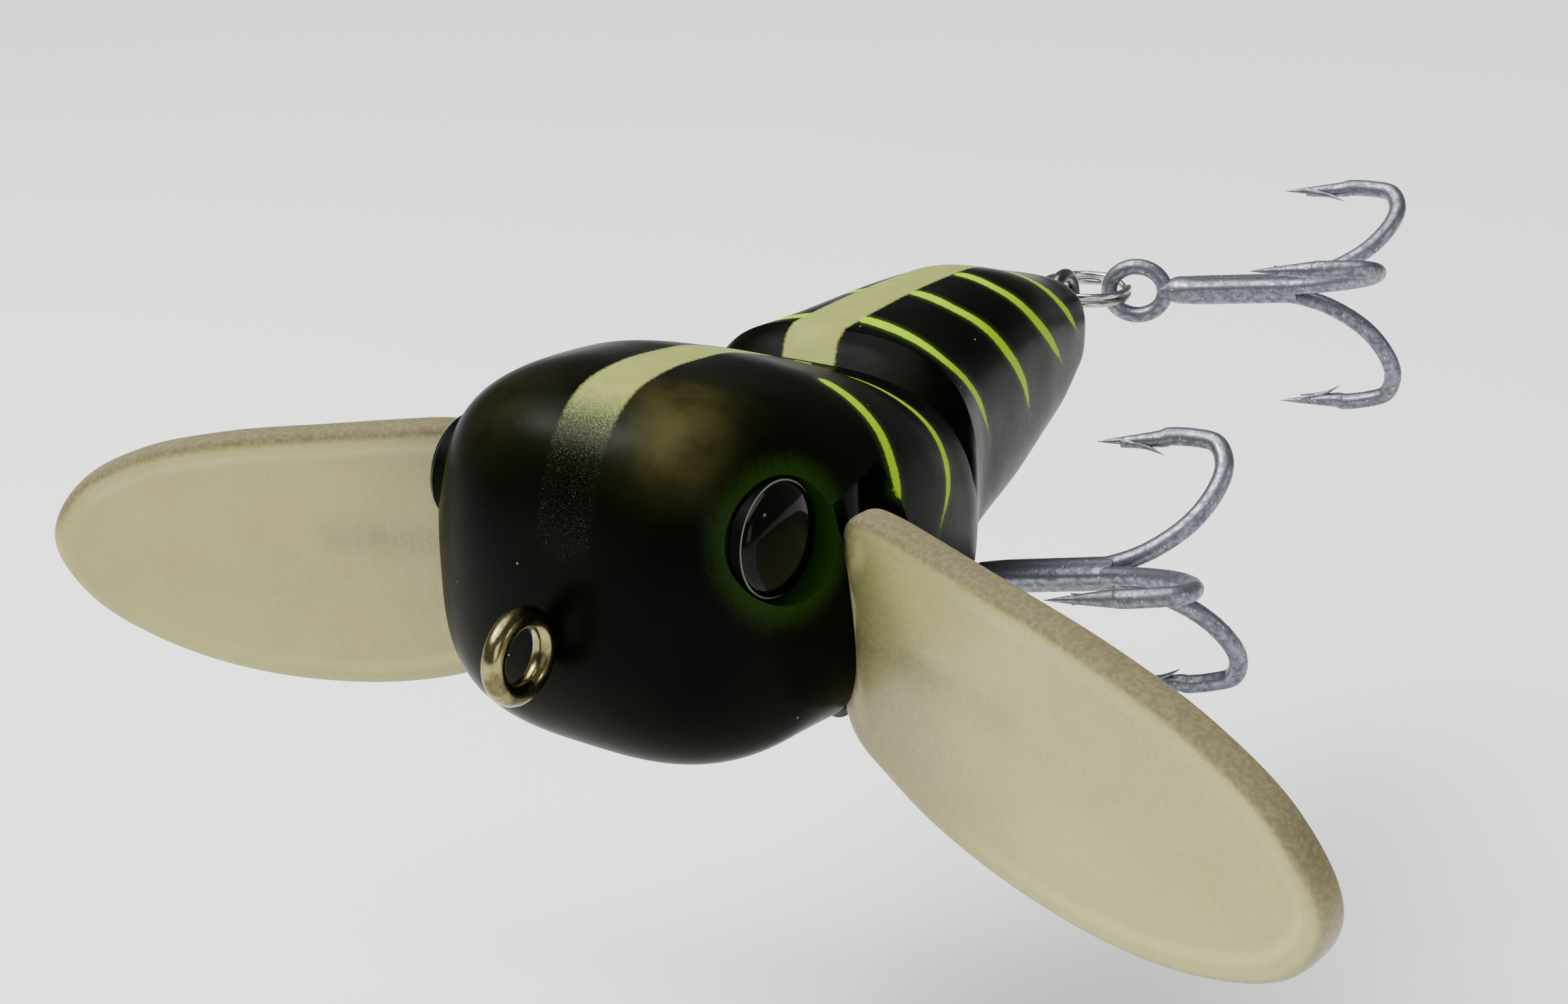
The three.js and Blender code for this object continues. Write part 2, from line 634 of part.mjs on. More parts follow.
// Points along a hook chain: the hanger's wire, the split ring's centre and the treble's eye.
function hookChain(wireY, wireZ, { yaw, pitch }) {
  const level = new THREE.Vector3(Math.sin(rad(yaw)), Math.cos(rad(yaw)), 0);
  const along = level.clone().multiplyScalar(Math.cos(rad(pitch))).setZ(Math.sin(rad(pitch)));
  const inner = SPLIT_RING_RADIUS - SPLIT_WIRE / 2;
  const hangerReach = inner - HANGER_WIRE / 2 - GAP;
  const hookReach = SPLIT_RING_RADIUS - HOOK_WIRE / 2 - HOOK_PLAY;
  const ring = new THREE.Vector3(0, wireY + hangerReach, wireZ);
  const grip = ring.clone().addScaledVector(level, hookReach);
  const eye = grip.clone().addScaledVector(along, HOOK_EYE_RADIUS * HOOK_EYE_STRETCH);
  const side = new THREE.Vector3(level.y, -level.x, 0);
  const basis = new THREE.Matrix4().makeBasis(side, along, new THREE.Vector3().crossVectors(side, along));
  return { ring, treble: basis.setPosition(eye) };
}

// ---------------------------------------------------------------- scene

function finish(color, roughness, metalness) {
  return new THREE.MeshStandardMaterial({ color, roughness, metalness });
}

const BLACK_PAINT = [0x16170f, 0.42, 0];
const WING_PLASTIC = [0xb4ae84, 0.55, 0];
const CLEAR_LENS = [0xdfe6e2, 0.05, 0];
const IRIS_BLACK = [0x0b0d08, 0.3, 0];
const BRASS = [0xb59a54, 0.28, 1];
const STEEL = [0x9a9ca0, 0.3, 1];
const HOOK_STEEL = [0x8b8f97, 0.45, 1];
const LEAD = [0x5c5f66, 0.7, 1];
const FILLER = [0x202018, 0.6, 0];

function named(name, geometry, look) {
  const mesh = new THREE.Mesh(geometry, finish(...look));
  mesh.name = name;
  return mesh;
}

// One side's eye, wing, pin and plug, built on the left and mirrored for the right.
function sideGroup(side) {
  const word = side > 0 ? "left" : "right";
  const group = new THREE.Group();
  group.scale.x = side;
  group.add(named(`${word}_eye_iris`, irisDisc(), IRIS_BLACK));
  group.add(named(`${word}_eye_lens`, eyeLens(), CLEAR_LENS));
  const hinge = new THREE.Group();
  hinge.applyMatrix4(WING_PLACE);
  hinge.add(named(`${word}_wing`, toGeometry(wingSolid()), WING_PLASTIC));
  hinge.add(named(`${word}_wing_pin`, hingePin(), STEEL));
  hinge.add(named(`${word}_pin_plug`, pinPlug(), FILLER));
  group.add(hinge);
  return group;
}

function hookGroup(word, wireY, wireZ, lie) {
  const chain = hookChain(wireY, wireZ, lie);
  const group = new THREE.Group();
  const ring = named(`${word}_split_ring`, splitRing(), STEEL);
  ring.position.copy(chain.ring);
  const treble = named(`${word}_treble`, toGeometry(trebleSolid(lie.roll)), HOOK_STEEL);
  treble.applyMatrix4(chain.treble);
  group.add(ring, treble);
  return group;
}

const leftHalfShell = leftShell();
const lure = new THREE.Group();
lure.position.set(0, NOSE_RING_REACH, -NOSE_RING_Z);
lure.add(
  named("left_body_shell", toGeometry(leftHalfShell), BLACK_PAINT),
  named("right_body_shell", toGeometry(leftHalfShell.mirror([1, 0, 0])), BLACK_PAINT),
  named("belly_ballast", ballastSlug(), LEAD),
  named("nose_line_tie", toGeometry(noseHanger(0)), BRASS),
  named("belly_hook_hanger", toGeometry(bellyHanger(0)), STEEL),
  named("tail_hook_hanger", toGeometry(tailHanger(0)), STEEL),
  sideGroup(1),
  sideGroup(-1),
  hookGroup("belly", BELLY_RING_Y + HANGER_RING_RADIUS, bellyRingZ, BELLY_HOOK),
  hookGroup("tail", BODY_LENGTH + TAIL_RING_REACH + HANGER_RING_RADIUS, TAIL_RING_Z, TAIL_HOOK),
);

const part = new THREE.Group();
part.add(lure);

export default part;
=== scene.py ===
"""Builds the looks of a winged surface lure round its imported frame."""

import math

import bmesh
import bpy
import numpy as np
from bpy.props import FloatProperty, FloatVectorProperty, PointerProperty
from mathutils import Matrix, Vector


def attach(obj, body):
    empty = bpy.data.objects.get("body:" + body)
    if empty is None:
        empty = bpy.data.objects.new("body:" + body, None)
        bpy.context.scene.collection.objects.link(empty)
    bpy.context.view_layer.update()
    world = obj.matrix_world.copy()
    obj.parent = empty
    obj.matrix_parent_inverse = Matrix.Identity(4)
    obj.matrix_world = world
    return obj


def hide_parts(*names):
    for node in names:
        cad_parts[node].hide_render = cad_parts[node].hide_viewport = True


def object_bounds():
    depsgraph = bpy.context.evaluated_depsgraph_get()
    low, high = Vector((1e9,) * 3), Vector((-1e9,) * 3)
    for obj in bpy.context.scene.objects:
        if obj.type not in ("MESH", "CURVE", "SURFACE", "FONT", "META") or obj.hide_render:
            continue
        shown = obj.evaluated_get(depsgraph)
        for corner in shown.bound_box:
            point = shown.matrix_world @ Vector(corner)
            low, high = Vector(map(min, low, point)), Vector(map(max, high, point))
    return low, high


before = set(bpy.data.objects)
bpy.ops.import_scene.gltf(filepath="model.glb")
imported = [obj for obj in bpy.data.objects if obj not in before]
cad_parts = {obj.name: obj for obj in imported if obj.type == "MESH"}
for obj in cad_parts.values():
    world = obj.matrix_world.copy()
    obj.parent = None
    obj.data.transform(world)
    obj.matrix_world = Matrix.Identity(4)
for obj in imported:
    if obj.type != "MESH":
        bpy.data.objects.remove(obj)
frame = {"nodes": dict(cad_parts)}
CAD_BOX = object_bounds()

bl_info = {
    "name": "Winged surface lure",
    "version": (1, 0, 0),
    "blender": (4, 5, 0),
    "location": "3D View > Sidebar > Lure",
    "description": "Builds a painted two-winged fishing lure with its eyes, wire, rings and hooks",
    "category": "Object",
}

MM = 0.001

# ---------------------------------------------------------------- body form, in millimetres

# The tip of the nose, from the centre of the line-tie ring
NOSE = np.array([0.0, 4.0, 1.0])
BODY_LENGTH = 99.0
HALF_WIDTH = 20.6
HEAD_HEIGHT = 18.9
CHIN_DEPTH = 16.0
NOSE_ROUND_SIDE = 16.7
NOSE_ROUND_TOP = 12.2
NOSE_ROUND_CHIN = 12.8
NOSE_TIP_Z = -1.5
NOSE_SQUARENESS = 2.7
TAIL_ROUND = 7.0
TAIL_TIP_Z = 2.0
MIDDLE_SHARE = 0.42
TOP_SQUARENESS = 2.9
BOTTOM_SQUARENESS = 3.0
SHOULDER_Y = 42.5
NOTCH_DEPTH = 2.4
NOTCH_LENGTH = 5.0
WIDTHS = [
    (0, 0.93), (0.12, 0.947), (0.25, 1), (0.4, 0.927), (0.55, 0.65), (0.7, 0.544), (0.85, 0.442), (1, 0.33)
]
TOPS = [
    (0, 1), (0.12, 1), (0.22, 0.952), (0.32, 0.8), (0.43, 0.59),
    (0.47, 0.7), (0.6, 0.718), (0.75, 0.686), (0.9, 0.486), (1, 0.36),
]
BOTTOMS = [
    (0, 0.94), (0.12, 0.95), (0.25, 1), (0.4, 0.94), (0.55, 0.8), (0.7, 0.69), (0.85, 0.47), (1, 0.19)
]

# Eyes
EYE_RADIUS = 5.0
EYE_Y = 9.5
EYE_Z = 8.0
EYE_SOCKET_DEPTH = 3.0
EYE_TURN = 5.0
EYE_LIFT = 3.0
IRIS_THICKNESS = 0.6
LENS_RIM = 0.3
LENS_DOME = 1.5

# Wings
WING_LENGTH = 51.3
WING_HALF_HEIGHT = 14.8
WING_SWEEP = 19.0
WING_DROOP = 2.5
WING_LEAN = 8.75
WING_FOLD = 55.0
HINGE_INSET = 5.0
HINGE_Y = 20.5
HINGE_Z = -5.6
HINGE_TO_ROOT = 2.4
ROOT_STEP_REACH = 4.0
RIM_RADIUS = 1.4
RIM_SQUARENESS = 3.6
PLATE_HALF = 1.08
KNUCKLE_RADIUS = 2.6
KNUCKLE_LOW = -4.5
KNUCKLE_HIGH = 9.0
ROOT_HALF = 1.25
STOP_TAB_AT = 9.4
STOP_TAB_WIDTH = 4.0
STOP_TAB_REACH = 4.0
STOP_TAB_HEIGHT = 7.5
STOP_TAB_THICKNESS = 1.4
POCKET_LOW = -11.0
POCKET_STEP = 12.0
POCKET_HIGH = 15.8
POCKET_MOUTH = 11.0
BLADE_RIM = [
    (0.027, 0.55), (0.036, 0.66), (0.061, 0.77), (0.066, 0.87), (0.086, 0.93), (0.13, 0.945), (0.2, 0.93),
    (0.35, 0.882), (0.585, 0.797), (0.766, 0.655), (0.904, 0.405), (0.973, 0.034), (0.93, -0.345),
    (0.803, -0.655), (0.618, -0.858), (0.394, -0.905), (0.205, -0.804), (0.097, -0.649), (0.047, -0.554),
    (0.027, -0.432), (0.027, 0.07),
]

# Wire, rings and hooks
NOSE_WIRE = 2.0
NOSE_RING_RADIUS = 3.3
HANGER_WIRE = 1.7
HANGER_RING_RADIUS = 3.4
ANCHOR_RADIUS = 2.4
ANCHOR_SHANK = 2.6
BELLY_RING_Y = 49.3
BELLY_RING_DROP = 3.6
TAIL_RING_REACH = 3.6
SPLIT_RADIUS = 5.4
SPLIT_WIRE = 0.86
SPLIT_TURNS = 1.82
SPLIT_RISE = 0.16
SPLIT_PLAY = 0.06
HOOK_WIRE = 2.0
HOOK_EYE_RADIUS = 3.1
HOOK_EYE_STRETCH = 1.14
HOOK_PLAY = 1.3
HOOK_BEND_AT = 31.5
HOOK_SPREAD = 16.3
HOOK_TIP_AT = 16.7
HOOK_POINT = 7.5
HOOK_SHANK_RADIUS = 1.75
GAP = 0.3
BELLY_HOOK = {"yaw": 81, "pitch": 11, "roll": -43}
TAIL_HOOK = {"yaw": 81, "pitch": 7, "roll": -52}

# Stage: the room for the hooks to hang over the floor, half the floor's side, and the camera
HOOK_DROP = 36.0
FLOOR_HALF = 3000.0
AIM_POINT = (4.41, 34.0, 2.59)
LENS_LENGTH = 44.87
CAMERA_ROLL = -0.54

# Painted lines on one side, as points near the surface; the other side mirrors them
RIB_LINES = [
    [(11.6, 30.2, 17.0), (16.8, 29.6, 13.4), (19.0, 28.5, 9.9), (19.3, 27.8, 5.6)],
    [(1.6, 42.4, 12.4), (11.3, 41.6, 12.3), (15.9, 41.3, 9.4), (18.9, 39.0, 5.7), (20.0, 35.2, 2.6)],
    [(1.0, 55.0, 14.4), (7.6, 53.8, 14.0), (11.2, 54.0, 11.8), (13.0, 57.6, 6.8), (13.0, 60.0, 2.2)],
    [(1.2, 65.8, 14.6), (6.5, 64.8, 13.9), (10.4, 67.6, 9.8), (11.4, 71.8, 4.4), (11.1, 74.2, -0.4)],
    [(1.4, 76.0, 14.2), (5.9, 75.4, 13.5), (8.9, 77.8, 10.2), (9.9, 82.2, 6.0), (9.4, 86.2, 2.2)],
    [(1.2, 85.0, 12.7), (4.8, 85.6, 12.0), (7.2, 88.0, 9.0), (8.0, 92.6, 4.2)],
]
RIB_WIDTH = 0.8


def smooth_curve(points):
    """A smooth function through (x, y) points that never overshoots them."""
    xs, ys = np.array(points, float).T
    step = np.diff(xs)
    rise = np.diff(ys) / step
    slopes = np.zeros(len(xs))
    for i in range(1, len(xs) - 1):
        if rise[i - 1] * rise[i] > 0:
            a, b = 2 * step[i] + step[i - 1], step[i] + 2 * step[i - 1]
            slopes[i] = (a + b) / (a / rise[i - 1] + b / rise[i])

    def curve(x):
        i = np.clip(np.searchsorted(xs, x, side="right") - 1, 0, len(step) - 1)
        h = step[i]
        t = np.clip((x - xs[i]) / h, 0, 1)
        value = ys[i] * (1 + 2 * t) * (1 - t) ** 2 + ys[i + 1] * t * t * (3 - 2 * t)
        return value + h * (slopes[i] * t * (1 - t) ** 2 - slopes[i + 1] * t * t * (1 - t))

    return curve


def smoothstep(x, low, high):
    t = np.clip((x - low) / (high - low), 0, 1)
    return t * t * (3 - 2 * t)


def quarter(t, power):
    return (1 - (1 - np.clip(t, 0, 1)) ** power) ** (1 / power)


WIDTH_AT = smooth_curve(WIDTHS)
TOP_AT = smooth_curve(TOPS)
BOTTOM_AT = smooth_curve(BOTTOMS)


def hull_section(y):
    """Half width, top, bottom and middle height of the body at y behind the nose."""
    share = y / BODY_LENGTH
    tail = quarter((BODY_LENGTH - y) / TAIL_ROUND, 2)
    width = HALF_WIDTH * WIDTH_AT(share) * quarter(y / NOSE_ROUND_SIDE, NOSE_SQUARENESS) * tail
    top_round = quarter(y / NOSE_ROUND_TOP, NOSE_SQUARENESS)
    chin_round = quarter(y / NOSE_ROUND_CHIN, NOSE_SQUARENESS)
    top = NOSE_TIP_Z + (HEAD_HEIGHT * TOP_AT(share) - NOSE_TIP_Z) * top_round
    bottom = NOSE_TIP_Z - (CHIN_DEPTH * BOTTOM_AT(share) + NOSE_TIP_Z) * chin_round
    top = TAIL_TIP_Z + (top - TAIL_TIP_Z) * tail
    bottom = TAIL_TIP_Z + (bottom - TAIL_TIP_Z) * tail
    return width, top, bottom, bottom + (top - bottom) * MIDDLE_SHARE


def hull_points(y, angle):
    width, top, bottom, middle = hull_section(y)
    across, rise = np.cos(angle), np.sin(angle)
    power = np.where(rise >= 0, 2 / TOP_SQUARENESS, 2 / BOTTOM_SQUARENESS)
    reach = np.where(rise >= 0, top - middle, middle - bottom)
    x = width * np.sign(across) * np.abs(across) ** power
    z = reach * np.sign(rise) * np.abs(rise) ** power
    t = (y - SHOULDER_Y) / NOTCH_LENGTH
    along = np.where(t < 0.25, t / 0.25, (1 - t) / 0.75)
    depth = NOTCH_DEPTH * np.where((t > 0) & (t < 1), along, 0) * smoothstep(rise, 0.1, 0.6)
    shrink = 1 - depth / np.maximum(np.hypot(x, z), 1e-6)
    return np.stack([x * shrink, y + 0 * x, middle + z * shrink], -1) + NOSE


def hull_side(y, z):
    width, top, bottom, middle = hull_section(y)
    reach, power = (top - middle, TOP_SQUARENESS) if z >= middle else (middle - bottom, BOTTOM_SQUARENESS)
    return width * (1 - min(1, abs(z - middle) / reach) ** power) ** (1 / power)


# ---------------------------------------------------------------- mesh tools


def mesh_object(name, points, faces, crease=35.0):
    """A smooth-shaded object from points in millimetres."""
    mesh = bpy.data.meshes.new(name)
    mesh.from_pydata((np.asarray(points, float) * MM).tolist(), [], [list(map(int, f)) for f in faces])
    mesh.validate()
    tidy = bmesh.new()
    tidy.from_mesh(mesh)
    bmesh.ops.recalc_face_normals(tidy, faces=tidy.faces)
    tidy.to_mesh(mesh)
    tidy.free()
    mesh.shade_smooth()
    mesh.set_sharp_from_angle(angle=math.radians(crease))
    obj = bpy.data.objects.new(name, mesh)
    bpy.context.scene.collection.objects.link(obj)
    return obj


def grid_faces(rings, count, closed_rings=False):
    """Quads between rings of points, which run round themselves."""
    faces = []
    for r in range(rings if closed_rings else rings - 1):
        low, high = r * count, ((r + 1) % rings) * count
        for k in range(count):
            following = (k + 1) % count
            faces.append((low + k, low + following, high + following, high + k))
    return faces


def merged(*pieces):
    """Points and faces of several pieces as one."""
    points, faces, start = [], [], 0
    for piece_points, piece_faces in pieces:
        points.append(np.asarray(piece_points, float))
        faces += [[i + start for i in face] for face in piece_faces]
        start += len(piece_points)
    return np.concatenate(points), faces


def moved(piece, matrix):
    points, faces = piece
    matrix = np.array(matrix)
    return points @ matrix[:3, :3].T + matrix[:3, 3], faces


def smooth_path(points, count, closed=False):
    """Evenly spaced points along a centripetal curve through the given ones."""
    p = np.array(points, float)
    if closed:
        p = np.concatenate([p[-1:], p, p[:2]])
    else:
        p = np.concatenate([2 * p[:1] - p[1:2], p, 2 * p[-1:] - p[-2:-1]])
    samples = []
    for i in range(1, len(p) - 2):
        t0 = 0.0
        t1 = t0 + np.linalg.norm(p[i] - p[i - 1]) ** 0.5
        t2 = t1 + np.linalg.norm(p[i + 1] - p[i]) ** 0.5
        t3 = t2 + np.linalg.norm(p[i + 2] - p[i + 1]) ** 0.5
        t = np.linspace(t1, t2, 24, endpoint=False)[:, None]
        a1 = (t1 - t) / (t1 - t0) * p[i - 1] + (t - t0) / (t1 - t0) * p[i]
        a2 = (t2 - t) / (t2 - t1) * p[i] + (t - t1) / (t2 - t1) * p[i + 1]
        a3 = (t3 - t) / (t3 - t2) * p[i + 1] + (t - t2) / (t3 - t2) * p[i + 2]
        b1 = (t2 - t) / (t2 - t0) * a1 + (t - t0) / (t2 - t0) * a2
        b2 = (t3 - t) / (t3 - t1) * a2 + (t - t1) / (t3 - t1) * a3
        samples.append((t2 - t) / (t2 - t1) * b1 + (t - t1) / (t2 - t1) * b2)
    line = np.concatenate(samples + [p[-2][None]])
    length = np.concatenate([[0], np.cumsum(np.linalg.norm(np.diff(line, axis=0), axis=1))])
    at = np.linspace(0, length[-1], count, endpoint=not closed)
    return np.stack([np.interp(at, length, line[:, i]) for i in range(line.shape[1])], -1)


def tube(path, radius, sides=16, closed=False):
    """A round wire along a path; radius is one number or one for each point."""
    path = np.asarray(path, float)
    radius = np.broadcast_to(radius, len(path))
    ahead = np.roll(path, -1, 0) - np.roll(path, 1, 0)
    if not closed:
        ahead[0], ahead[-1] = path[1] - path[0], path[-1] - path[-2]
    ahead /= np.linalg.norm(ahead, axis=1)[:, None]
    normal = np.cross(ahead[0], [0.31, 0.52, 0.79])
    normal /= np.linalg.norm(normal)
    angles = np.linspace(0, 2 * math.pi, sides, endpoint=False)
    rings = []
    for centre, direction, r in zip(path, ahead, radius):
        normal = normal - direction * (normal @ direction)
        normal /= np.linalg.norm(normal)
        side = np.cross(direction, normal)
        rings.append(centre + r * (np.outer(np.cos(angles), normal) + np.outer(np.sin(angles), side)))
    if closed:
        drift = rings[0][0] - path[0]
        turn = math.atan2(drift @ np.cross(ahead[0], normal), drift @ normal)
        for i, (centre, direction) in enumerate(zip(path, ahead)):
            spin = np.array(Matrix.Rotation(turn * i / len(path), 3, Vector(direction)))
            rings[i] = (rings[i] - centre) @ spin.T + centre
    faces = grid_faces(len(path), sides, closed)
    if not closed:
        faces += [list(range(sides)), [(len(path) - 1) * sides + k for k in range(sides)]]
    return np.concatenate(rings), faces


def circle_path(radius, count, stretch=1.0):
    """A ring in the plane x = 0, long along y where it is stretched."""
    turn = np.linspace(0, 2 * math.pi, count, endpoint=False)
    return np.stack([0 * turn, radius * stretch * np.sin(turn), radius * np.cos(turn)], -1)


def lathe(profile, sides=64):
    """A solid of revolution about +Y from (radius, height) points whose ends are on the axis."""
    angles = np.linspace(0, 2 * math.pi, sides, endpoint=False)
    rings = [
        np.stack([r * np.cos(angles), h + 0 * angles, r * np.sin(angles)], -1) for r, h in profile[1:-1]
    ]
    points = np.concatenate([*rings, [[0, profile[0][1], 0], [0, profile[-1][1], 0]]])
    faces = grid_faces(len(rings), sides)
    last = (len(rings) - 1) * sides
    for k in range(sides):
        faces.append((len(points) - 2, (k + 1) % sides, k))
        faces.append((len(points) - 1, last + k, last + (k + 1) % sides))
    return points, faces


def rounded_box(low, high, edge, segments=3):
    box = bmesh.new()
    bmesh.ops.create_cube(box, size=1.0)
    size, middle = np.subtract(high, low), np.add(high, low) / 2
    for vertex in box.verts:
        vertex.co = Vector(np.array(vertex.co) * size + middle)
    bmesh.ops.bevel(box, geom=box.edges[:], offset=edge, segments=segments, profile=0.5, affect="EDGES")
    points = np.array([vertex.co[:] for vertex in box.verts])
    box.verts.index_update()
    faces = [[vertex.index for vertex in face.verts] for face in box.faces]
    box.free()
    return points, faces


def prism(outline, low, high):
    """A solid on an outline of (outward, back) points between two heights along +Y."""
    outline = np.array(outline, float)
    count = len(outline)
    lower = np.stack([outline[:, 0], np.full(count, float(low)), -outline[:, 1]], -1)
    upper = lower + [0, high - low, 0]
    faces = grid_faces(2, count) + [list(range(count)), [count + k for k in range(count)]]
    return np.concatenate([lower, upper]), faces


def cut(obj, *cutters):
    """Takes the cutters out of obj and deletes them."""
    for cutter in cutters:
        modifier = obj.modifiers.new("cut", "BOOLEAN")
        modifier.object = cutter
        modifier.operation = "DIFFERENCE"
        modifier.solver = "EXACT"
    depsgraph = bpy.context.evaluated_depsgraph_get()
    mesh = bpy.data.meshes.new_from_object(obj.evaluated_get(depsgraph))
    obj.modifiers.clear()
    obj.data = mesh
    for cutter in cutters:
        bpy.data.objects.remove(cutter, do_unlink=True)
    mesh.shade_smooth()
    mesh.set_sharp_from_angle(angle=math.radians(35))


def point_values(obj, name, values):
    """Stores one number for each point, for a material to read by name."""
    layer = obj.data.attributes.new(name, "FLOAT", "POINT")
    layer.data.foreach_set("value", np.asarray(values, np.float32))


def points_of(obj):
    """The object's points, in millimetres."""
    flat = np.empty(len(obj.data.vertices) * 3)
    obj.data.vertices.foreach_get("co", flat)
    return flat.reshape(-1, 3) / MM


def laid_on(line, points, normals):
    """The line's points, each moved along the nearest point's normal onto its surface."""
    laid = []
    for place in line:
        nearest = np.argmin(np.linalg.norm(points - place, axis=1))
        normal = normals[nearest]
        laid.append(place + normal * ((points[nearest] - place) @ normal))
    return np.array(laid)


def inside_outline(points, outline):
    """Which points lie inside a closed outline."""
    x, y = points[:, :1], points[:, 1:2]
    x0, y0 = outline.T
    x1, y1 = np.roll(outline, -1, axis=0).T
    rise = np.where(y1 == y0, 1.0, y1 - y0)
    crossed = ((y0 > y) != (y1 > y)) & (x < x0 + (y - y0) * (x1 - x0) / rise)
    return crossed.sum(axis=1) % 2 == 1


def distance_to_line(points, line):
    """Each point's distance from a polyline of points, and how far along it the nearest lies."""
    best = np.full(len(points), 1e9)
    share = np.zeros(len(points))
    for i, place in enumerate(line):
        d = np.linalg.norm(points - place, axis=1)
        nearer = d < best
        best[nearer] = d[nearer]
        share[nearer] = i / (len(line) - 1)
    return best, share


# ---------------------------------------------------------------- material tools


class Nodes:
    """One node tree, with short ways to add and join nodes."""

    def __init__(self, tree):
        self.tree = tree

    def add(self, kind, **values):
        node = self.tree.nodes.new(kind)
        for key, value in values.items():
            setattr(node, key, value)
        return node

    def join(self, value, socket):
        if isinstance(value, bpy.types.NodeSocket):
            self.tree.links.new(value, socket)
        else:
            socket.default_value = value

    def math(self, operation, *values, clamp=False):
        node = self.add("ShaderNodeMath", operation=operation, use_clamp=clamp)
        for value, socket in zip(values, node.inputs):
            self.join(value, socket)
        return node.outputs[0]

    def span(self, value, low, high, to_low=0.0, to_high=1.0):
        """A smooth step from to_low to to_high as value goes from low to high."""
        node = self.add("ShaderNodeMapRange", interpolation_type="SMOOTHSTEP")
        for number, socket in zip((value, low, high, to_low, to_high), node.inputs):
            self.join(number, socket)
        return node.outputs["Result"]

    def mix(self, mask, below, above, blend="MIX"):
        node = self.add("ShaderNodeMix", data_type="RGBA", blend_type=blend)
        self.join(mask, node.inputs["Factor"])
        self.join(below, node.inputs[6])
        self.join(above, node.inputs[7])
        return node.outputs[2]

    def value(self, name):
        return self.add("ShaderNodeAttribute", attribute_name=name).outputs["Fac"]

    def place(self):
        return self.add("ShaderNodeTexCoord").outputs["Object"]

    def noise(self, scale, detail=3.0, roughness=0.55, where=None):
        node = self.add("ShaderNodeTexNoise")
        self.join(where or self.place(), node.inputs["Vector"])
        node.inputs["Scale"].default_value = scale
        node.inputs["Detail"].default_value = detail
        node.inputs["Roughness"].default_value = roughness
        return node.outputs["Fac"]

    def group(self, name, **values):
        node = self.add("ShaderNodeGroup", node_tree=bpy.data.node_groups[name])
        for key, value in values.items():
            self.join(value, node.inputs[key.replace("_", " ")])
        return node.outputs


def new_group(name, inputs, outputs):
    """An empty shader node group, its helper, its input sockets and its output node."""
    tree = bpy.data.node_groups.new(name, "ShaderNodeTree")
    for label, kind, default in inputs:
        socket = tree.interface.new_socket(label, in_out="INPUT", socket_type=kind)
        socket.default_value = default
    for label, kind in outputs:
        tree.interface.new_socket(label, in_out="OUTPUT", socket_type=kind)
    nodes = Nodes(tree)
    return nodes, nodes.add("NodeGroupInput").outputs, nodes.add("NodeGroupOutput").inputs


def build_effect_groups():
    """Grain, specks and mottling, which several finishes share."""
    number, color = "NodeSocketFloat", "NodeSocketColor"

    n, given, out = new_group(
        "fine_grain",
        [("Scale", number, 900.0), ("Strength", number, 1.0)],
        [("Height", number), ("Mask", number)],
    )
    fine = n.add("ShaderNodeTexNoise")
    n.join(n.place(), fine.inputs["Vector"])
    n.join(given["Scale"], fine.inputs["Scale"])
    fine.inputs["Detail"].default_value = 4
    n.join(n.math("MULTIPLY", fine.outputs["Fac"], given["Strength"]), out["Height"])
    n.join(n.span(fine.outputs["Fac"], 0.35, 0.65), out["Mask"])

    n, given, out = new_group(
        "dust_specks",
        [("Color", color, (0, 0, 0, 1)), ("Speck", color, (0.5, 0.5, 0.45, 1)), ("Scale", number, 500.0),
         ("Size", number, 0.09), ("Amount", number, 0.4)],
        [("Color", color), ("Mask", number)],
    )
    cells = n.add("ShaderNodeTexVoronoi")
    n.join(n.place(), cells.inputs["Vector"])
    n.join(given["Scale"], cells.inputs["Scale"])
    chosen = n.add("ShaderNodeSeparateColor")
    n.join(cells.outputs["Color"], chosen.inputs[0])
    size = n.math("MULTIPLY", given["Size"], chosen.outputs[1])
    near = n.math("LESS_THAN", cells.outputs["Distance"], size)
    mask = n.math("MULTIPLY", near, n.math("LESS_THAN", chosen.outputs[0], given["Amount"]))
    n.join(mask, out["Mask"])
    n.join(n.mix(mask, given["Color"], given["Speck"]), out["Color"])

    n, given, out = new_group(
        "mottle",
        [("Light", color, (0.5, 0.5, 0.5, 1)), ("Dark", color, (0.2, 0.2, 0.2, 1)),
         ("Scale", number, 200.0)],
        [("Color", color), ("Mask", number)],
    )
    cloud = n.add("ShaderNodeTexNoise")
    n.join(n.place(), cloud.inputs["Vector"])
    n.join(given["Scale"], cloud.inputs["Scale"])
    cloud.inputs["Detail"].default_value = 5
    cloud.inputs["Roughness"].default_value = 0.65
    mask = n.span(cloud.outputs["Fac"], 0.36, 0.64)
    n.join(mask, out["Mask"])
    n.join(n.mix(mask, given["Dark"], given["Light"]), out["Color"])


def new_material(name, **values):
    """A node material, its helper and its Principled shader with these values."""
    material = bpy.data.materials.new(name)
    material.use_nodes = True
    shader = material.node_tree.nodes["Principled BSDF"]
    for key, value in values.items():
        shader.inputs[key.replace("_", " ")].default_value = value
    return material, Nodes(material.node_tree), shader


def set_bump(n, shader, height, strength, distance):
    bump = n.add("ShaderNodeBump")
    bump.inputs["Strength"].default_value = strength
    bump.inputs["Distance"].default_value = distance
    n.join(height, bump.inputs["Height"])
    n.join(bump.outputs["Normal"], shader.inputs["Normal"])


def rgba(color):
    return (color[0], color[1], color[2], 1.0)


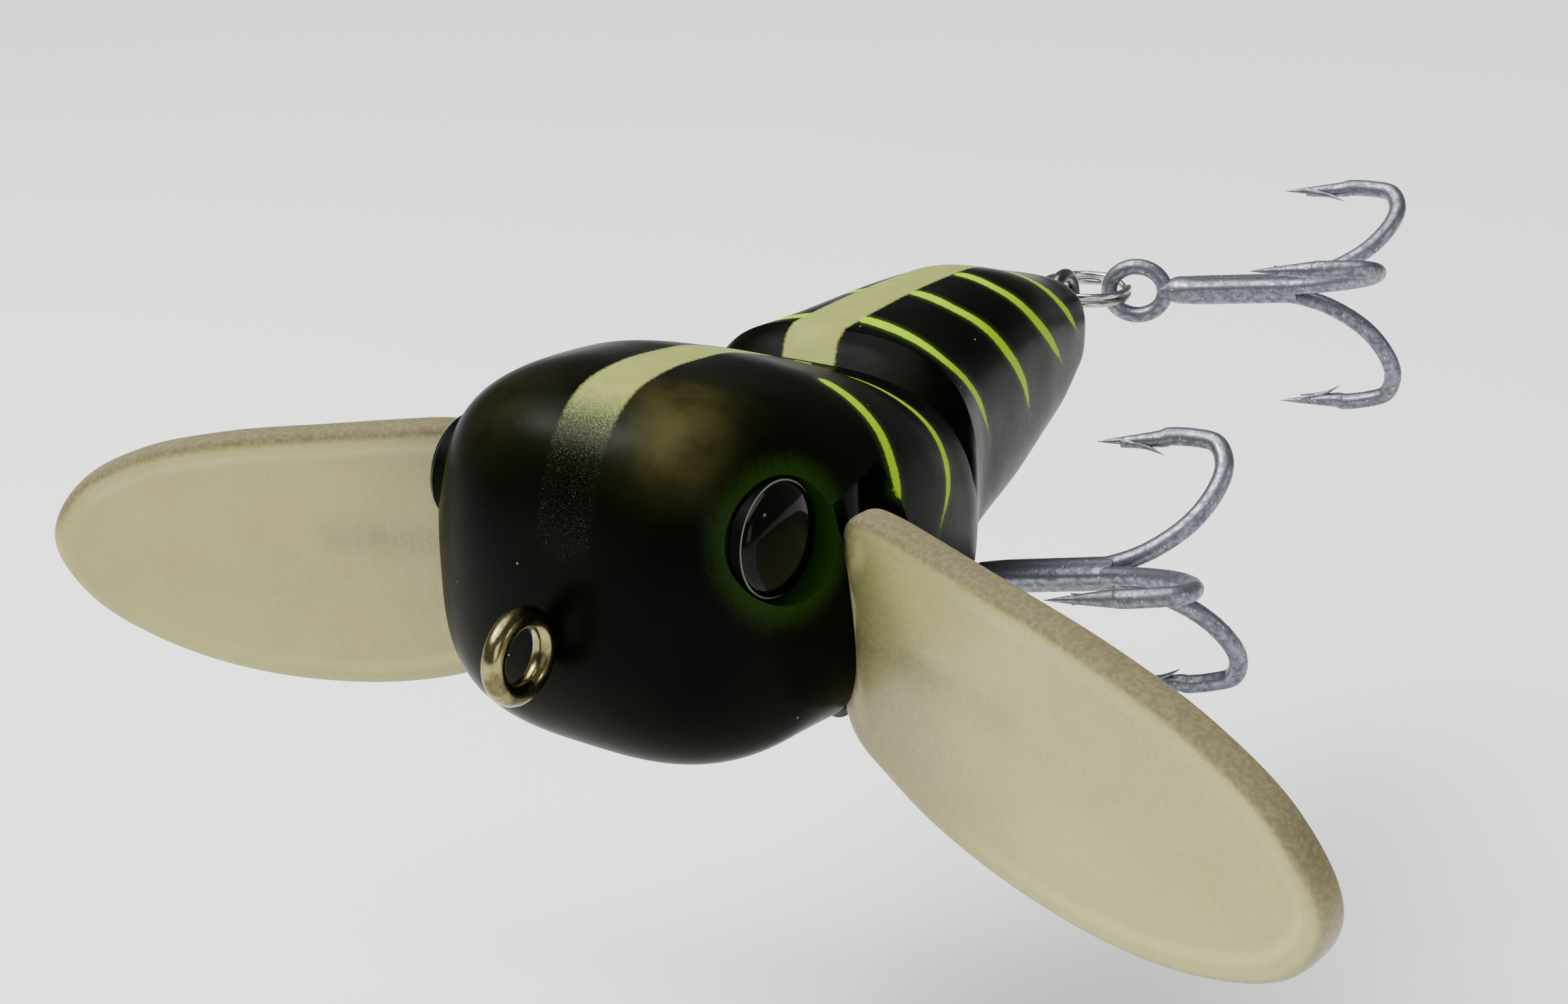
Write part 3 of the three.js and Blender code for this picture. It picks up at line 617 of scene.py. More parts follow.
def body_lacquer(paint):
    """Satin black with an airbrushed back stripe, side lines and eye halos under clear lacquer."""
    material, n, shader = new_material("body_lacquer", Specular_IOR_Level=0.024)
    wander = n.math("SUBTRACT", n.noise(160.0), 0.5)
    spray = n.math("SUBTRACT", n.noise(3200.0, 2.0), 0.5)
    split = n.add("ShaderNodeSeparateXYZ")
    n.join(n.place(), split.inputs[0])
    height = n.math("MULTIPLY_ADD", wander, 0.006, split.outputs["Z"])

    cloud = n.noise(55.0, 4.0)
    color = n.mix(n.span(cloud, 0.3, 0.72), rgba(paint.black), (0.0022, 0.0025, 0.0010, 1))
    lower = n.span(height, -0.001, -0.014)
    color = n.mix(n.math("MULTIPLY", lower, 0.75), color, (0.0034, 0.0038, 0.0016, 1))
    # Bluish grey on the lower rear flank: partly grey belly paint, partly a painted sheen of the floor.
    rear = n.span(split.outputs["Y"], 0.036, 0.085)
    flank_paint_and_sheen = n.math("MULTIPLY", rear, n.span(height, 0.006, -0.008))
    color = n.mix(n.math("MULTIPLY", flank_paint_and_sheen, 0.8), color, (0.0085, 0.0095, 0.0105, 1))
    # Painted sheen: golden-brown patches on the top of the head stand in for a soft highlight.
    gold_sheen = n.math("MULTIPLY", n.value("gold_sheen"), n.span(n.noise(260.0, 5.0), 0.25, 0.7, 0.35, 1.0))
    color = n.mix(gold_sheen, color, (0.038, 0.035, 0.010, 1))
    haze = n.math("MULTIPLY", n.value("haze"), n.span(n.noise(330.0, 4.0), 0.35, 0.65, 0.2, 1.0))
    color = n.mix(haze, color, (0.034, 0.048, 0.044, 1))

    drift = n.math("MULTIPLY_ADD", spray, 1.6, n.math("MULTIPLY", wander, 1.2))
    halo = n.math("ADD", n.value("halo"), drift)
    color = n.mix(n.span(halo, 8.2, 5.0, 0.0, 0.75), color, rgba(paint.halo_green))

    drift = n.math("MULTIPLY_ADD", spray, 0.35, n.math("MULTIPLY", wander, 0.25))
    rib = n.math("ADD", n.value("rib"), drift)
    color = n.mix(n.span(rib, -1.15, -0.1, 0.0, 0.85), color, rgba(paint.halo_green))
    color = n.mix(n.span(rib, -0.22, 0.12), color, rgba(paint.lime))

    back = n.math("ADD", n.value("back"), n.math("MULTIPLY", spray, 0.45))
    solid = n.span(back, -0.25, 0.25)
    fade = n.value("back_fade")
    dusting = n.math("SUBTRACT", n.noise(9000.0, 2.0, 0.7), 0.5)
    faded = n.span(n.math("MULTIPLY_ADD", dusting, 1.5, fade), 0.08, 0.8)
    cover = n.math("MULTIPLY", solid, faded, clamp=True)
    shaded = rgba([c * 0.86 for c in paint.stripe])
    stripe = n.mix(n.span(n.noise(420.0, 4.0), 0.3, 0.7), rgba(paint.stripe), shaded)
    stripe = n.mix(n.span(fade, 0.9, 0.1, 0.0, 0.7), stripe, (0.11, 0.112, 0.085, 1))
    color = n.mix(cover, color, stripe)

    dust = n.group(
        "dust_specks", Color=color, Speck=(0.16, 0.17, 0.09, 1.0), Scale=620.0, Size=0.1, Amount=0.1
    )
    chip = n.group(
        "dust_specks", Color=dust["Color"], Speck=(0.2, 0.18, 0.13, 1.0), Scale=70.0, Size=0.035, Amount=0.3
    )
    n.join(chip["Color"], shader.inputs["Base Color"])
    paintwork = n.math("MAXIMUM", cover, n.span(rib, -0.22, 0.12))
    rough = n.span(n.noise(90.0, 4.0), 0.3, 0.7, paint.roughness - 0.05, paint.roughness + 0.06)
    n.join(n.math("MULTIPLY_ADD", paintwork, 0.1, rough), shader.inputs["Roughness"])
    grain = n.group("fine_grain", Scale=1500.0, Strength=1.0)
    relief = n.math("MULTIPLY_ADD", paintwork, 0.8, grain["Height"])
    set_bump(n, shader, relief, 0.35, 0.00004)
    return material


def wing_plastic(wing):
    """Frosted smoky beige plastic: cloudy, finely grained, warm at the rim, with painted shade that makes
    it cooler and darker at the root, along the upper edges and in a streak from the root, and a painted
    highlight on the rim's inner bevel.
    """
    material, n, shader = new_material(
        "wing_plastic", Subsurface_Weight=0.18, Subsurface_Scale=0.0025, Coat_Roughness=0.3
    )
    shader.inputs["Subsurface Radius"].default_value = (1.0, 0.85, 0.5)
    cloud = n.group("mottle", Light=rgba(wing.color), Dark=rgba([c * 0.86 for c in wing.color]), Scale=45.0)
    out = n.value("outward")
    # Painted shade: the plastic turns darker and greyer towards the root, beside the body.
    color = n.mix(n.span(out, 26.0, 2.0, 0.0, 0.75), cloud["Color"], (0.175, 0.162, 0.072, 1))
    color = n.mix(n.span(out, 8.0, 1.0, 0.0, 0.6), color, (0.105, 0.105, 0.072, 1))
    rim = n.value("rim")
    color = n.mix(n.span(rim, 0.8, 0.2, 0.0, 0.8), color, (0.125, 0.108, 0.052, 1))
    # Painted shadow: a soft dark streak out from the root on the front face.
    root_shadow_streak = n.math("MULTIPLY", n.value("root_shadow_streak"), n.span(cloud["Mask"], 0.0, 1.0, 0.25, 0.45))
    color = n.mix(root_shadow_streak, color, (0.1, 0.098, 0.055, 1))
    # Painted highlight: a lighter band along the inner bevel of the rim.
    pale = n.math("MULTIPLY", n.span(rim, 3.4, 2.3), n.span(rim, 1.5, 2.1))
    color = n.mix(n.math("MULTIPLY", pale, 0.35), color, (0.40, 0.37, 0.15, 1))
    grain = n.group("fine_grain", Scale=2300.0, Strength=1.0)
    color = n.mix(n.math("MULTIPLY", grain["Mask"], 0.2), color, (0.40, 0.37, 0.14, 1))
    # Painted shade: the upper edges of the rim are darkened, with a little grain in it.
    upper_edge_shade = n.math("MULTIPLY", n.value("upper_edge"), n.span(grain["Mask"], 0.0, 1.0, 0.9, 0.65))
    color = n.mix(upper_edge_shade, color, (0.085, 0.072, 0.036, 1))
    dots = n.group(
        "dust_specks", Color=color, Speck=(0.25, 0.21, 0.12, 1.0), Scale=330.0, Size=0.13, Amount=0.07
    )
    n.join(dots["Color"], shader.inputs["Base Color"])
    rough = n.span(n.noise(130.0), 0.3, 0.7, wing.roughness - 0.06, wing.roughness + 0.08)
    n.join(n.math("MULTIPLY_ADD", n.value("upper_edge"), 0.4, rough), shader.inputs["Roughness"])
    n.join(n.span(n.value("upper_edge"), 0.0, 0.5, 0.12, 0.0), shader.inputs["Coat Weight"])
    swirl = n.math("MULTIPLY_ADD", n.noise(120.0), 3.0, grain["Height"])
    set_bump(n, shader, swirl, 0.4, 0.00006)
    return material


def wire_metal(name, light, dark, roughness, scratch=2600.0):
    """Drawn wire: bright metal with darker tarnish and fine scratches."""
    material, n, shader = new_material(name, Metallic=1.0)
    tarnish = n.group("mottle", Light=light, Dark=dark, Scale=380.0)
    n.join(tarnish["Color"], shader.inputs["Base Color"])
    grain = n.group("fine_grain", Scale=scratch, Strength=1.0)
    rough = n.span(tarnish["Mask"], 0.0, 1.0, roughness + 0.14, roughness)
    n.join(n.math("MULTIPLY_ADD", grain["Mask"], 0.05, rough), shader.inputs["Roughness"])
    set_bump(n, shader, grain["Height"], 0.25, 0.00003)
    return material


def hook_plating(hardware):
    """Matte grey galvanised wire: pale crystals over darker steel, with pits."""
    material, n, shader = new_material("hook_plating", Metallic=0.85)
    base = n.group("mottle", Light=rgba(hardware.hook_color), Dark=(0.095, 0.10, 0.12, 1.0), Scale=1300.0)
    worn = n.group(
        "dust_specks", Color=base["Color"], Speck=(0.45, 0.48, 0.52, 1.0), Scale=2400.0, Size=0.3,
        Amount=0.3,
    )
    pits = n.group(
        "dust_specks", Color=worn["Color"], Speck=(0.1, 0.1, 0.12, 1.0), Scale=1300.0, Size=0.2, Amount=0.15
    )
    n.join(pits["Color"], shader.inputs["Base Color"])
    n.join(n.span(base["Mask"], 0.0, 1.0, 0.52, 0.36), shader.inputs["Roughness"])
    grain = n.group("fine_grain", Scale=2000.0, Strength=1.0)
    relief = n.math("SUBTRACT", grain["Height"], n.math("MULTIPLY", pits["Mask"], 0.8))
    set_bump(n, shader, relief, 0.5, 0.00007)
    return material


def clear_resin():
    """Clear cast resin with a faint ripple in its tint."""
    material, n, shader = new_material("clear_resin", Roughness=0.02, IOR=1.2, Transmission_Weight=1.0)
    ripple = n.noise(150.0, 2.0)
    tint = n.mix(n.span(ripple, 0.3, 0.7), (0.96, 0.99, 0.95, 1), (1, 1, 1, 1))
    n.join(tint, shader.inputs["Base Color"])
    return material


def iris_gloss():
    """Gloss black cup with a painted highlight along its thin lip."""
    material, n, shader = new_material("iris_gloss", Specular_IOR_Level=0.02)
    cloud = n.span(n.noise(120.0, 4.0), 0.3, 0.75)
    color = n.mix(cloud, (0.0006, 0.0008, 0.0006, 1), (0.0022, 0.003, 0.0018, 1))
    # Painted highlight: the lip is lightened where the dome's edge catches light.
    color = n.mix(n.span(n.value("lip"), -0.05, -0.01, 0.0, 0.7), color, (0.20, 0.23, 0.17, 1))
    dust = n.group(
        "dust_specks", Color=color, Speck=(0.3, 0.34, 0.4, 1.0), Scale=500.0, Size=0.05, Amount=0.05
    )
    n.join(dust["Color"], shader.inputs["Base Color"])
    n.join(n.span(n.noise(260.0), 0.3, 0.7, 0.45, 0.6), shader.inputs["Roughness"])
    return material


def plain_finish(name, light, dark, roughness, metallic=0.0, scale=300.0):
    """A mottled finish for the pieces inside."""
    material, n, shader = new_material(name, Metallic=metallic)
    cloud = n.group("mottle", Light=light, Dark=dark, Scale=scale)
    n.join(cloud["Color"], shader.inputs["Base Color"])
    n.join(n.span(cloud["Mask"], 0.0, 1.0, roughness + 0.1, roughness), shader.inputs["Roughness"])
    set_bump(n, shader, n.group("fine_grain", Scale=1400.0, Strength=1.0)["Height"], 0.3, 0.00005)
    return material


def set_material(obj, material):
    obj.data.materials.clear()
    obj.data.materials.append(material)


def place_piece(obj, body, slot, material, *nodes):
    """Gives a piece its finish and says which body and frame nodes it belongs to; the slot is not used."""
    set_material(obj, material)
    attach(obj, body)
    if nodes:
        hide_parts(*nodes)


# ---------------------------------------------------------------- places


def wing_place(side):
    """The wing's frame: outward, hinge axis, back, with the hinge as its origin."""
    sweep, droop, lean = map(math.radians, (WING_SWEEP, WING_DROOP, WING_LEAN))
    outward = Vector((
        math.cos(sweep) * math.cos(droop),
        -math.sin(sweep) * math.cos(droop),
        -math.sin(droop),
    ))
    upright = (Vector((0, 0, 1)) - outward * outward.z).normalized()
    up = upright * math.cos(lean) + outward.cross(upright) * math.sin(lean)
    matrix = Matrix((outward, up, outward.cross(up))).transposed().to_4x4()
    hinge = (hull_side(HINGE_Y, HINGE_Z) - HINGE_INSET, HINGE_Y, HINGE_Z)
    matrix.translation = Vector(np.array(hinge) + NOSE)
    return Matrix.Diagonal((side, 1, 1, 1)) @ matrix


def eye_place(side):
    """The eye's frame: its +Y points straight out of the bottom of the socket."""
    turn, lift = math.radians(EYE_TURN), math.radians(EYE_LIFT)
    outward = Vector((math.cos(turn) * math.cos(lift), -math.sin(turn) * math.cos(lift), math.sin(lift)))
    seat = Vector((hull_side(EYE_Y, EYE_Z), EYE_Y, EYE_Z)) + Vector(NOSE) - outward * EYE_SOCKET_DEPTH
    matrix = Vector((0, 1, 0)).rotation_difference(outward).to_matrix().to_4x4()
    matrix.translation = seat
    return Matrix.Diagonal((side, 1, 1, 1)) @ matrix


def hanger_places():
    """Where the belly and the tail hanger's eyes are."""
    belly_z = hull_section(BELLY_RING_Y)[2] - BELLY_RING_DROP
    belly = Matrix.Translation(Vector(np.array([0, BELLY_RING_Y, belly_z]) + NOSE))
    tail = Matrix.Translation(Vector(np.array([0, BODY_LENGTH + TAIL_RING_REACH, TAIL_TIP_Z]) + NOSE))
    return belly, tail


def hook_chain(hanger, lie):
    """The split ring's centre and the treble's frame behind a hanger."""
    yaw, pitch = math.radians(lie["yaw"]), math.radians(lie["pitch"])
    level = Vector((math.sin(yaw), math.cos(yaw), 0))
    along = level * math.cos(pitch) + Vector((0, 0, math.sin(pitch)))
    reach = SPLIT_RADIUS - SPLIT_WIRE / 2 - HANGER_WIRE / 2 - GAP
    ring = hanger.translation + Vector((0, HANGER_RING_RADIUS + reach, 0))
    grip = ring + level * (SPLIT_RADIUS - HOOK_WIRE / 2 - HOOK_PLAY)
    side = Vector((math.cos(yaw), -math.sin(yaw), 0))
    treble = Matrix((side, along, side.cross(along))).transposed().to_4x4()
    treble.translation = grip + along * HOOK_EYE_RADIUS * HOOK_EYE_STRETCH
    return Matrix.Translation(ring), treble


# ---------------------------------------------------------------- pieces


def hull_piece():
    """The whole painted hull, fine enough for its airbrushed edges."""
    nose = NOSE_ROUND_SIDE * (1 - np.cos(np.linspace(0.02, math.pi / 2, 46)))
    front = np.linspace(NOSE_ROUND_SIDE, SHOULDER_Y - 1.2, 52)[1:]
    notch = np.linspace(0.15, NOTCH_LENGTH + 0.5, 26)
    shoulder = SHOULDER_Y + np.concatenate([np.linspace(-1, 0, 6), notch])
    rear = np.linspace(SHOULDER_Y + NOTCH_LENGTH + 1, BODY_LENGTH - TAIL_ROUND, 90)
    tail = BODY_LENGTH - TAIL_ROUND * (1 - np.sin(np.linspace(0, math.pi / 2 - 0.02, 30)))[1:]
    stations = np.concatenate([nose, front, shoulder, rear, tail])
    count = 224
    angles = np.linspace(0, 2 * math.pi, count, endpoint=False)
    points = np.concatenate([hull_points(y, angles) for y in stations])
    last = len(stations) - 1
    tips = [points[:count].mean(0), points[last * count :].mean(0)]
    faces = grid_faces(len(stations), count)
    centre = len(points)
    for k in range(count):
        faces.append((centre, (k + 1) % count, k))
        faces.append((centre + 1, last * count + k, last * count + (k + 1) % count))
    return np.concatenate([points, tips]), faces


def pocket_cutters(side):
    """The swept room of a wing's root, and the round room of its knuckle."""
    half, fold = RIM_RADIUS + 0.5, math.radians(WING_FOLD)
    along, across = np.array([math.cos(fold), math.sin(fold)]), np.array([-math.sin(fold), math.cos(fold)])

    def sweep(collar, low, high):
        spread = math.asin(half / collar)
        arc = np.linspace(fold + spread, -spread, 32)
        outline = [
            *[(collar * math.cos(a), collar * math.sin(a)) for a in arc],
            (POCKET_MOUTH, -half),
            (1.1 * POCKET_MOUTH * math.cos(fold / 2), 1.1 * POCKET_MOUTH * math.sin(fold / 2)),
            POCKET_MOUTH * along + half * across,
        ]
        return prism(outline, low, high)

    root = sweep(HINGE_TO_ROOT - 0.4, POCKET_LOW, POCKET_STEP)
    step = sweep(ROOT_STEP_REACH - 0.4, POCKET_STEP - 0.1, POCKET_HIGH)
    turn = np.linspace(0, 2 * math.pi, 48, endpoint=False)
    knuckle = [((KNUCKLE_RADIUS + GAP) * math.cos(a), (KNUCKLE_RADIUS + GAP) * math.sin(a)) for a in turn]
    room = prism(knuckle, KNUCKLE_LOW - GAP, KNUCKLE_HIGH + GAP)
    place = wing_place(side)
    return [mesh_object("pocket", *moved(piece, place)) for piece in (root, step, room)]


def paint_body(obj):
    """Where the stripe, the side lines, the halos and the painted golden sheen patches lie."""
    points = points_of(obj)
    normals = np.empty(points.size)
    obj.data.vertex_normals.foreach_get("vector", normals)
    normals = normals.reshape(-1, 3)
    mirrored = points.copy()
    mirrored[:, 0] = np.abs(mirrored[:, 0])
    rib = np.full(len(points), -9.0)
    for line in RIB_LINES:
        distance, share = distance_to_line(mirrored, laid_on(smooth_path(line, 160), points, normals))
        width = RIB_WIDTH * (1 - 0.35 * share) * smoothstep(1.02 - share, 0, 0.3)
        rib = np.maximum(rib, width - distance)
    point_values(obj, "rib", rib)

    x, y, z = points.T
    centre = np.interp(y, [6, 12, 20, 44, 50, 84, 96], [1.5, 0.9, 0.2, -0.2, -2.2, -2.1, -1.0])
    half = np.interp(
        y, [5, 8, 20, 38, 46.4, 46.5, 60, 84, 97], [2.7, 2.6, 2.4, 2.0, 1.0, 3.0, 2.9, 2.5, 1.6]
    )
    above = smoothstep(z, 5.0, 9.0)
    bare = ((y > 46.2) & (y < 48.2)) | (y > 99)
    back = np.where(bare, -3.0, half - np.abs(x - centre)) * above - 3.0 * (1 - above)
    point_values(obj, "back", back)
    point_values(obj, "back_fade", smoothstep(y + 0.5 * z, 12.5, 26.0))

    halo = np.full(len(points), 99.0)
    for side in (1, -1):
        centre_point = np.array(eye_place(side) @ Vector((0, EYE_SOCKET_DEPTH, 0)))
        halo = np.minimum(halo, np.linalg.norm(points - centre_point, axis=1))
    point_values(obj, "halo", halo)
    # Painted sheen: soft golden-brown patches on top of the head, where a highlight falls.
    gold_sheen = np.zeros(len(points))
    for place, radius, strength in (
        ((7.2, 13.0, 18.8), 4.4, 0.8), ((9.6, 9.4, 16.4), 3.4, 0.7), ((-8.4, 11.0, 17.2), 5.0, 0.25)
    ):
        gold_sheen += strength * np.exp(-(np.linalg.norm(points - place, axis=1) / radius) ** 2)
    point_values(obj, "gold_sheen", gold_sheen)
    haze = 0.45 * np.exp(-(np.linalg.norm((mirrored - (10, 84, 4)) * (1, 1, 0.5), axis=1) / 3.4) ** 2)
    point_values(obj, "haze", haze)


def blade_piece():
    """The blade: a thick rounded rim round a thinner dished plate, with a soft boss near the root."""
    shares = np.array(BLADE_RIM)
    rim = smooth_path(shares * [WING_LENGTH, WING_HALF_HEIGHT], 400, closed=True)
    rim[:, 0] += HINGE_TO_ROOT
    ahead = np.roll(rim, -1, 0) - np.roll(rim, 1, 0)
    ahead /= np.linalg.norm(ahead, axis=1)[:, None]
    outline = rim + RIM_RADIUS * np.stack([-ahead[:, 1], ahead[:, 0]], -1)
    spine = np.stack([np.clip(outline[:, 0], 16.0, 39.0), 0 * outline[:, 0]], -1)
    reach = np.linalg.norm(spine - outline, axis=1)[:, None]
    near = [0, 0.02, 0.07, 0.15, 0.28, 0.45, 0.65]
    near += [0.9, 1.15, 1.4, 1.65, 1.9, 2.15, 2.4, 2.7, 3.0, 3.4, 3.9, 4.5]
    layers = [outline + (spine - outline) * (step / reach) for step in near]
    start = layers[-1]
    layers += [start + (spine - start) * share for share in np.linspace(0, 0.94, 14)[1:]]
    flat = np.concatenate(layers)
    depth = np.min(np.linalg.norm(flat[:, None] - outline[None], axis=2), axis=1)
    depth[: len(outline)] = 0
    edge = RIM_RADIUS * quarter(depth / RIM_RADIUS, RIM_SQUARENESS)
    settle = smoothstep(depth, RIM_RADIUS + 0.2, 2.9)
    half = np.where(depth < RIM_RADIUS, edge, RIM_RADIUS - (RIM_RADIUS - PLATE_HALF) * settle)
    streak = distance_to_line(flat, np.linspace((4.0, 5.4), (16.5, 2.9), 60))[0]
    boss = -0.3 * np.exp(-((streak / 1.5) ** 2))
    dish = 0.22 * smoothstep(depth, 3.0, 11.0)
    front = half - dish * 0.6 + boss * settle
    rear = dish * 0.2 - half
    ring = len(outline)
    upper = np.column_stack([flat, front])
    lower = np.column_stack([flat, rear])[ring:]
    faces = grid_faces(len(layers), ring)
    shift = len(upper) - ring
    for face in grid_faces(len(layers), ring):
        faces.append([i if i < ring else i + shift for i in face][::-1])
    top_ring = [len(upper) - ring + k for k in range(ring)]
    faces += [top_ring, [i + shift for i in top_ring][::-1]]
    return np.concatenate([upper, lower]), faces


def knuckle_piece():
    """The round knuckle that turns on the pin, its ends slightly rounded."""
    edge = 0.35
    turn = np.linspace(0, math.pi / 2, 6)
    flat, low_edge, high_edge = KNUCKLE_RADIUS - edge, KNUCKLE_LOW + edge, KNUCKLE_HIGH - edge
    low = [(flat + edge * math.sin(a), low_edge - edge * math.cos(a)) for a in turn]
    high = [(flat + edge * math.cos(a), high_edge + edge * math.sin(a)) for a in turn]
    return lathe([(0, KNUCKLE_LOW), *low, *high, (0, KNUCKLE_HIGH)], 48)


def wing_piece():
    """The blade, its knuckle, the web between them and the tab that stops the fold."""
    web = rounded_box(
        (0.2, KNUCKLE_LOW + GAP, -ROOT_HALF), (HINGE_TO_ROOT + 2.5, KNUCKLE_HIGH - GAP, ROOT_HALF), 0.3
    )
    half = STOP_TAB_THICKNESS / 2
    tab = rounded_box(
        (STOP_TAB_AT, STOP_TAB_HEIGHT - half, -STOP_TAB_REACH),
        (STOP_TAB_AT + STOP_TAB_WIDTH, STOP_TAB_HEIGHT + half, -0.4),
        0.35,
    )
    return merged(blade_piece(), knuckle_piece(), web, tab)


def hanger_piece(ring_radius, wire):
    """An eye, a shank and a buried anchor loop of one wire, with the shank along +Y."""
    anchor_y = ring_radius + ANCHOR_SHANK + ANCHOR_RADIUS
    eye = tube(circle_path(ring_radius, 72), wire / 2, 18, closed=True)
    shank = tube(
        [(0, y, 0) for y in np.linspace(ring_radius, anchor_y - ANCHOR_RADIUS, 8)], wire / 2, 18
    )
    anchor = tube(circle_path(ANCHOR_RADIUS, 48) + [0, anchor_y, 0], wire / 2, 18, closed=True)
    return merged(eye, shank, anchor)


def split_ring_piece():
    """Two flat turns of round wire, one on the other."""
    turns = np.linspace(0, SPLIT_TURNS, 220)
    angle = (turns + 0.25) * 2 * math.pi
    rise = (smoothstep(turns, 1 - SPLIT_RISE, 0.98) - 0.5) * (SPLIT_WIRE + SPLIT_PLAY)
    path = np.stack([SPLIT_RADIUS * np.cos(angle), SPLIT_RADIUS * np.sin(angle), rise], -1)
    radius = np.full(len(path), SPLIT_WIRE / 2)
    radius[:3] *= (0.55, 0.85, 0.97)
    radius[-3:] *= (0.97, 0.85, 0.55)
    return tube(path, radius, 14)


def prong_piece():
    """One prong in the plane x = 0: flare, round bend, long point and barb."""
    spread, bend = HOOK_SPREAD - HOOK_WIRE / 2, HOOK_BEND_AT - HOOK_WIRE / 2
    tip = HOOK_TIP_AT
    path = smooth_path(
        [
            (0, tip - 2.5, 0.6), (0, tip + 1.8, 0.9), (0, bend - 7.6, 2.3), (0, bend - 3.2, 5.4),
            (0, bend - 0.7, 9), (0, bend, 11.8), (0, bend - 0.9, 14.2), (0, bend - 3.1, spread - 0.3),
            (0, bend - 6.2, spread), (0, tip + HOOK_POINT, spread - 0.1), (0, tip + 0.1, spread - 0.1),
        ],
        150,
    )
    to_tip = np.linalg.norm(path - path[-1], axis=1)
    near_tip = np.arange(len(path)) > len(path) * 0.6
    taper = np.where(near_tip, np.clip(to_tip / HOOK_POINT, 0.03, 1) ** 0.8, 1)
    wire = tube(path, HOOK_WIRE / 2 * taper, 18)
    barb_path = smooth_path(
        [(0, tip + 2.8, spread - 0.3), (0, tip + 5.4, spread - 1.0), (0, tip + 7.4, spread - 2.1)], 14
    )
    barb = tube(barb_path, np.linspace(0.62, 0.04, 14), 12)
    return merged(wire, barb)


def treble_piece(roll):
    """Eye, brazed shank and three prongs, with the shank along +Y from the centre of the eye."""
    eye = tube(circle_path(HOOK_EYE_RADIUS, 80, HOOK_EYE_STRETCH), HOOK_WIRE / 2, 18, closed=True)
    low, high = HOOK_EYE_RADIUS * HOOK_EYE_STRETCH - 0.3, HOOK_TIP_AT + 3.0
    angles = np.linspace(0, 2 * math.pi, 36, endpoint=False)
    lobes = 1 + 0.13 * np.cos(3 * (angles - math.radians(90 - roll)))
    rings = []
    for y in np.linspace(low, high, 40):
        size = HOOK_SHANK_RADIUS * 0.98 * (1 - 0.35 * (1 - smoothstep(y, low, low + 2.2)))
        shape = 1 + (lobes - 1) * smoothstep(y, low + 1.5, low + 5)
        radius = size * shape
        rings.append(np.stack([radius * np.cos(angles), y + 0 * angles, radius * np.sin(angles)], -1))
    shank_faces = grid_faces(len(rings), 36) + [list(range(36)), [39 * 36 + k for k in range(36)]]
    prongs = [
        moved(prong_piece(), Matrix.Rotation(math.radians(roll - turn), 4, "Y")) for turn in (0, 120, 240)
    ]
    return merged(eye, (np.concatenate(rings), shank_faces), *prongs)


# ---------------------------------------------------------------- settings


class LurePaintSettings(bpy.types.PropertyGroup):
    """Colours and finish of the painted body."""

    black: FloatVectorProperty(
        name="Black", description="Base coat of the body", subtype="COLOR", size=3,
        default=(0.0005, 0.0006, 0.0003),
    )
    stripe: FloatVectorProperty(
        name="Back stripe", description="Stripe along the back", subtype="COLOR", size=3,
        default=(0.245, 0.27, 0.078),
    )
    lime: FloatVectorProperty(
        name="Side lines", description="Thin lines on the sides", subtype="COLOR", size=3,
        default=(0.27, 0.46, 0.0),
    )
    halo_green: FloatVectorProperty(
        name="Green mist", description="Airbrushed mist round the eyes and lines", subtype="COLOR", size=3,
        default=(0.011, 0.032, 0.003),
    )
    roughness: FloatProperty(
        name="Roughness", description="Roughness of the lacquer", subtype="FACTOR", min=0.05, max=1,
        default=0.33,
    )


class LureWingSettings(bpy.types.PropertyGroup):
    """Colour and finish of the wings."""

    color: FloatVectorProperty(
        name="Plastic", description="Colour of the wing plastic", subtype="COLOR", size=3,
        default=(0.30, 0.278, 0.088),
    )
    roughness: FloatProperty(
        name="Roughness", description="Roughness of the wing plastic", subtype="FACTOR", min=0.05, max=1,
        default=0.5,
    )


class LureHardwareSettings(bpy.types.PropertyGroup):
    """Finish of the hooks."""

    hook_color: FloatVectorProperty(
        name="Hook plating", description="Colour of the hook plating", subtype="COLOR", size=3,
        default=(0.19, 0.203, 0.24),
    )


class LureStageSettings(bpy.types.PropertyGroup):
    """Floor, lights and camera."""

    sun: FloatProperty(name="Overhead", description="Strength of the wide overhead light", default=5.0)
    sky: FloatProperty(name="Sky", description="Strength of the light from all round", default=0.25)
    key_power: FloatProperty(
        name="Key light", description="Power of the main light", unit="POWER", default=4.0
    )
    fill_power: FloatProperty(
        name="Fill light", description="Power of the fill light", unit="POWER", default=0.8
    )
    azimuth: FloatProperty(
        name="Azimuth", description="Camera angle round the lure", subtype="ANGLE",
        default=math.radians(31.92),
    )
    elevation: FloatProperty(
        name="Elevation", description="Camera angle above the lure", subtype="ANGLE",
        default=math.radians(22.04),
    )
    distance: FloatProperty(
        name="Distance", description="Camera distance from the aim point", unit="LENGTH", default=0.1831
    )


# ---------------------------------------------------------------- operators


class LURE_OT_body(bpy.types.Operator):
    """Build and paint the moulded body"""

    bl_idname = "lure.body"
    bl_label = "Body"

    def execute(self, context):
        body = mesh_object("painted_body", *hull_piece())
        cutters = []
        for side in (1, -1):
            cutters += pocket_cutters(side)
            turn = np.linspace(0, 2 * math.pi, 96, endpoint=False)
            mouth = EYE_RADIUS + GAP
            socket = prism([(mouth * math.cos(a), mouth * math.sin(a)) for a in turn], 0, 9)
            cutters.append(mesh_object("socket", *moved(socket, eye_place(side))))
        cut(body, *cutters)
        if len(body.data.polygons) < 1000:
            raise RuntimeError("the body lost its shape in a cut")
        paint_body(body)
        lacquer = body_lacquer(context.scene.lure_paint)
        place_piece(body, "body", "body_paint", lacquer, "left_body_shell", "right_body_shell")
        return {"FINISHED"}


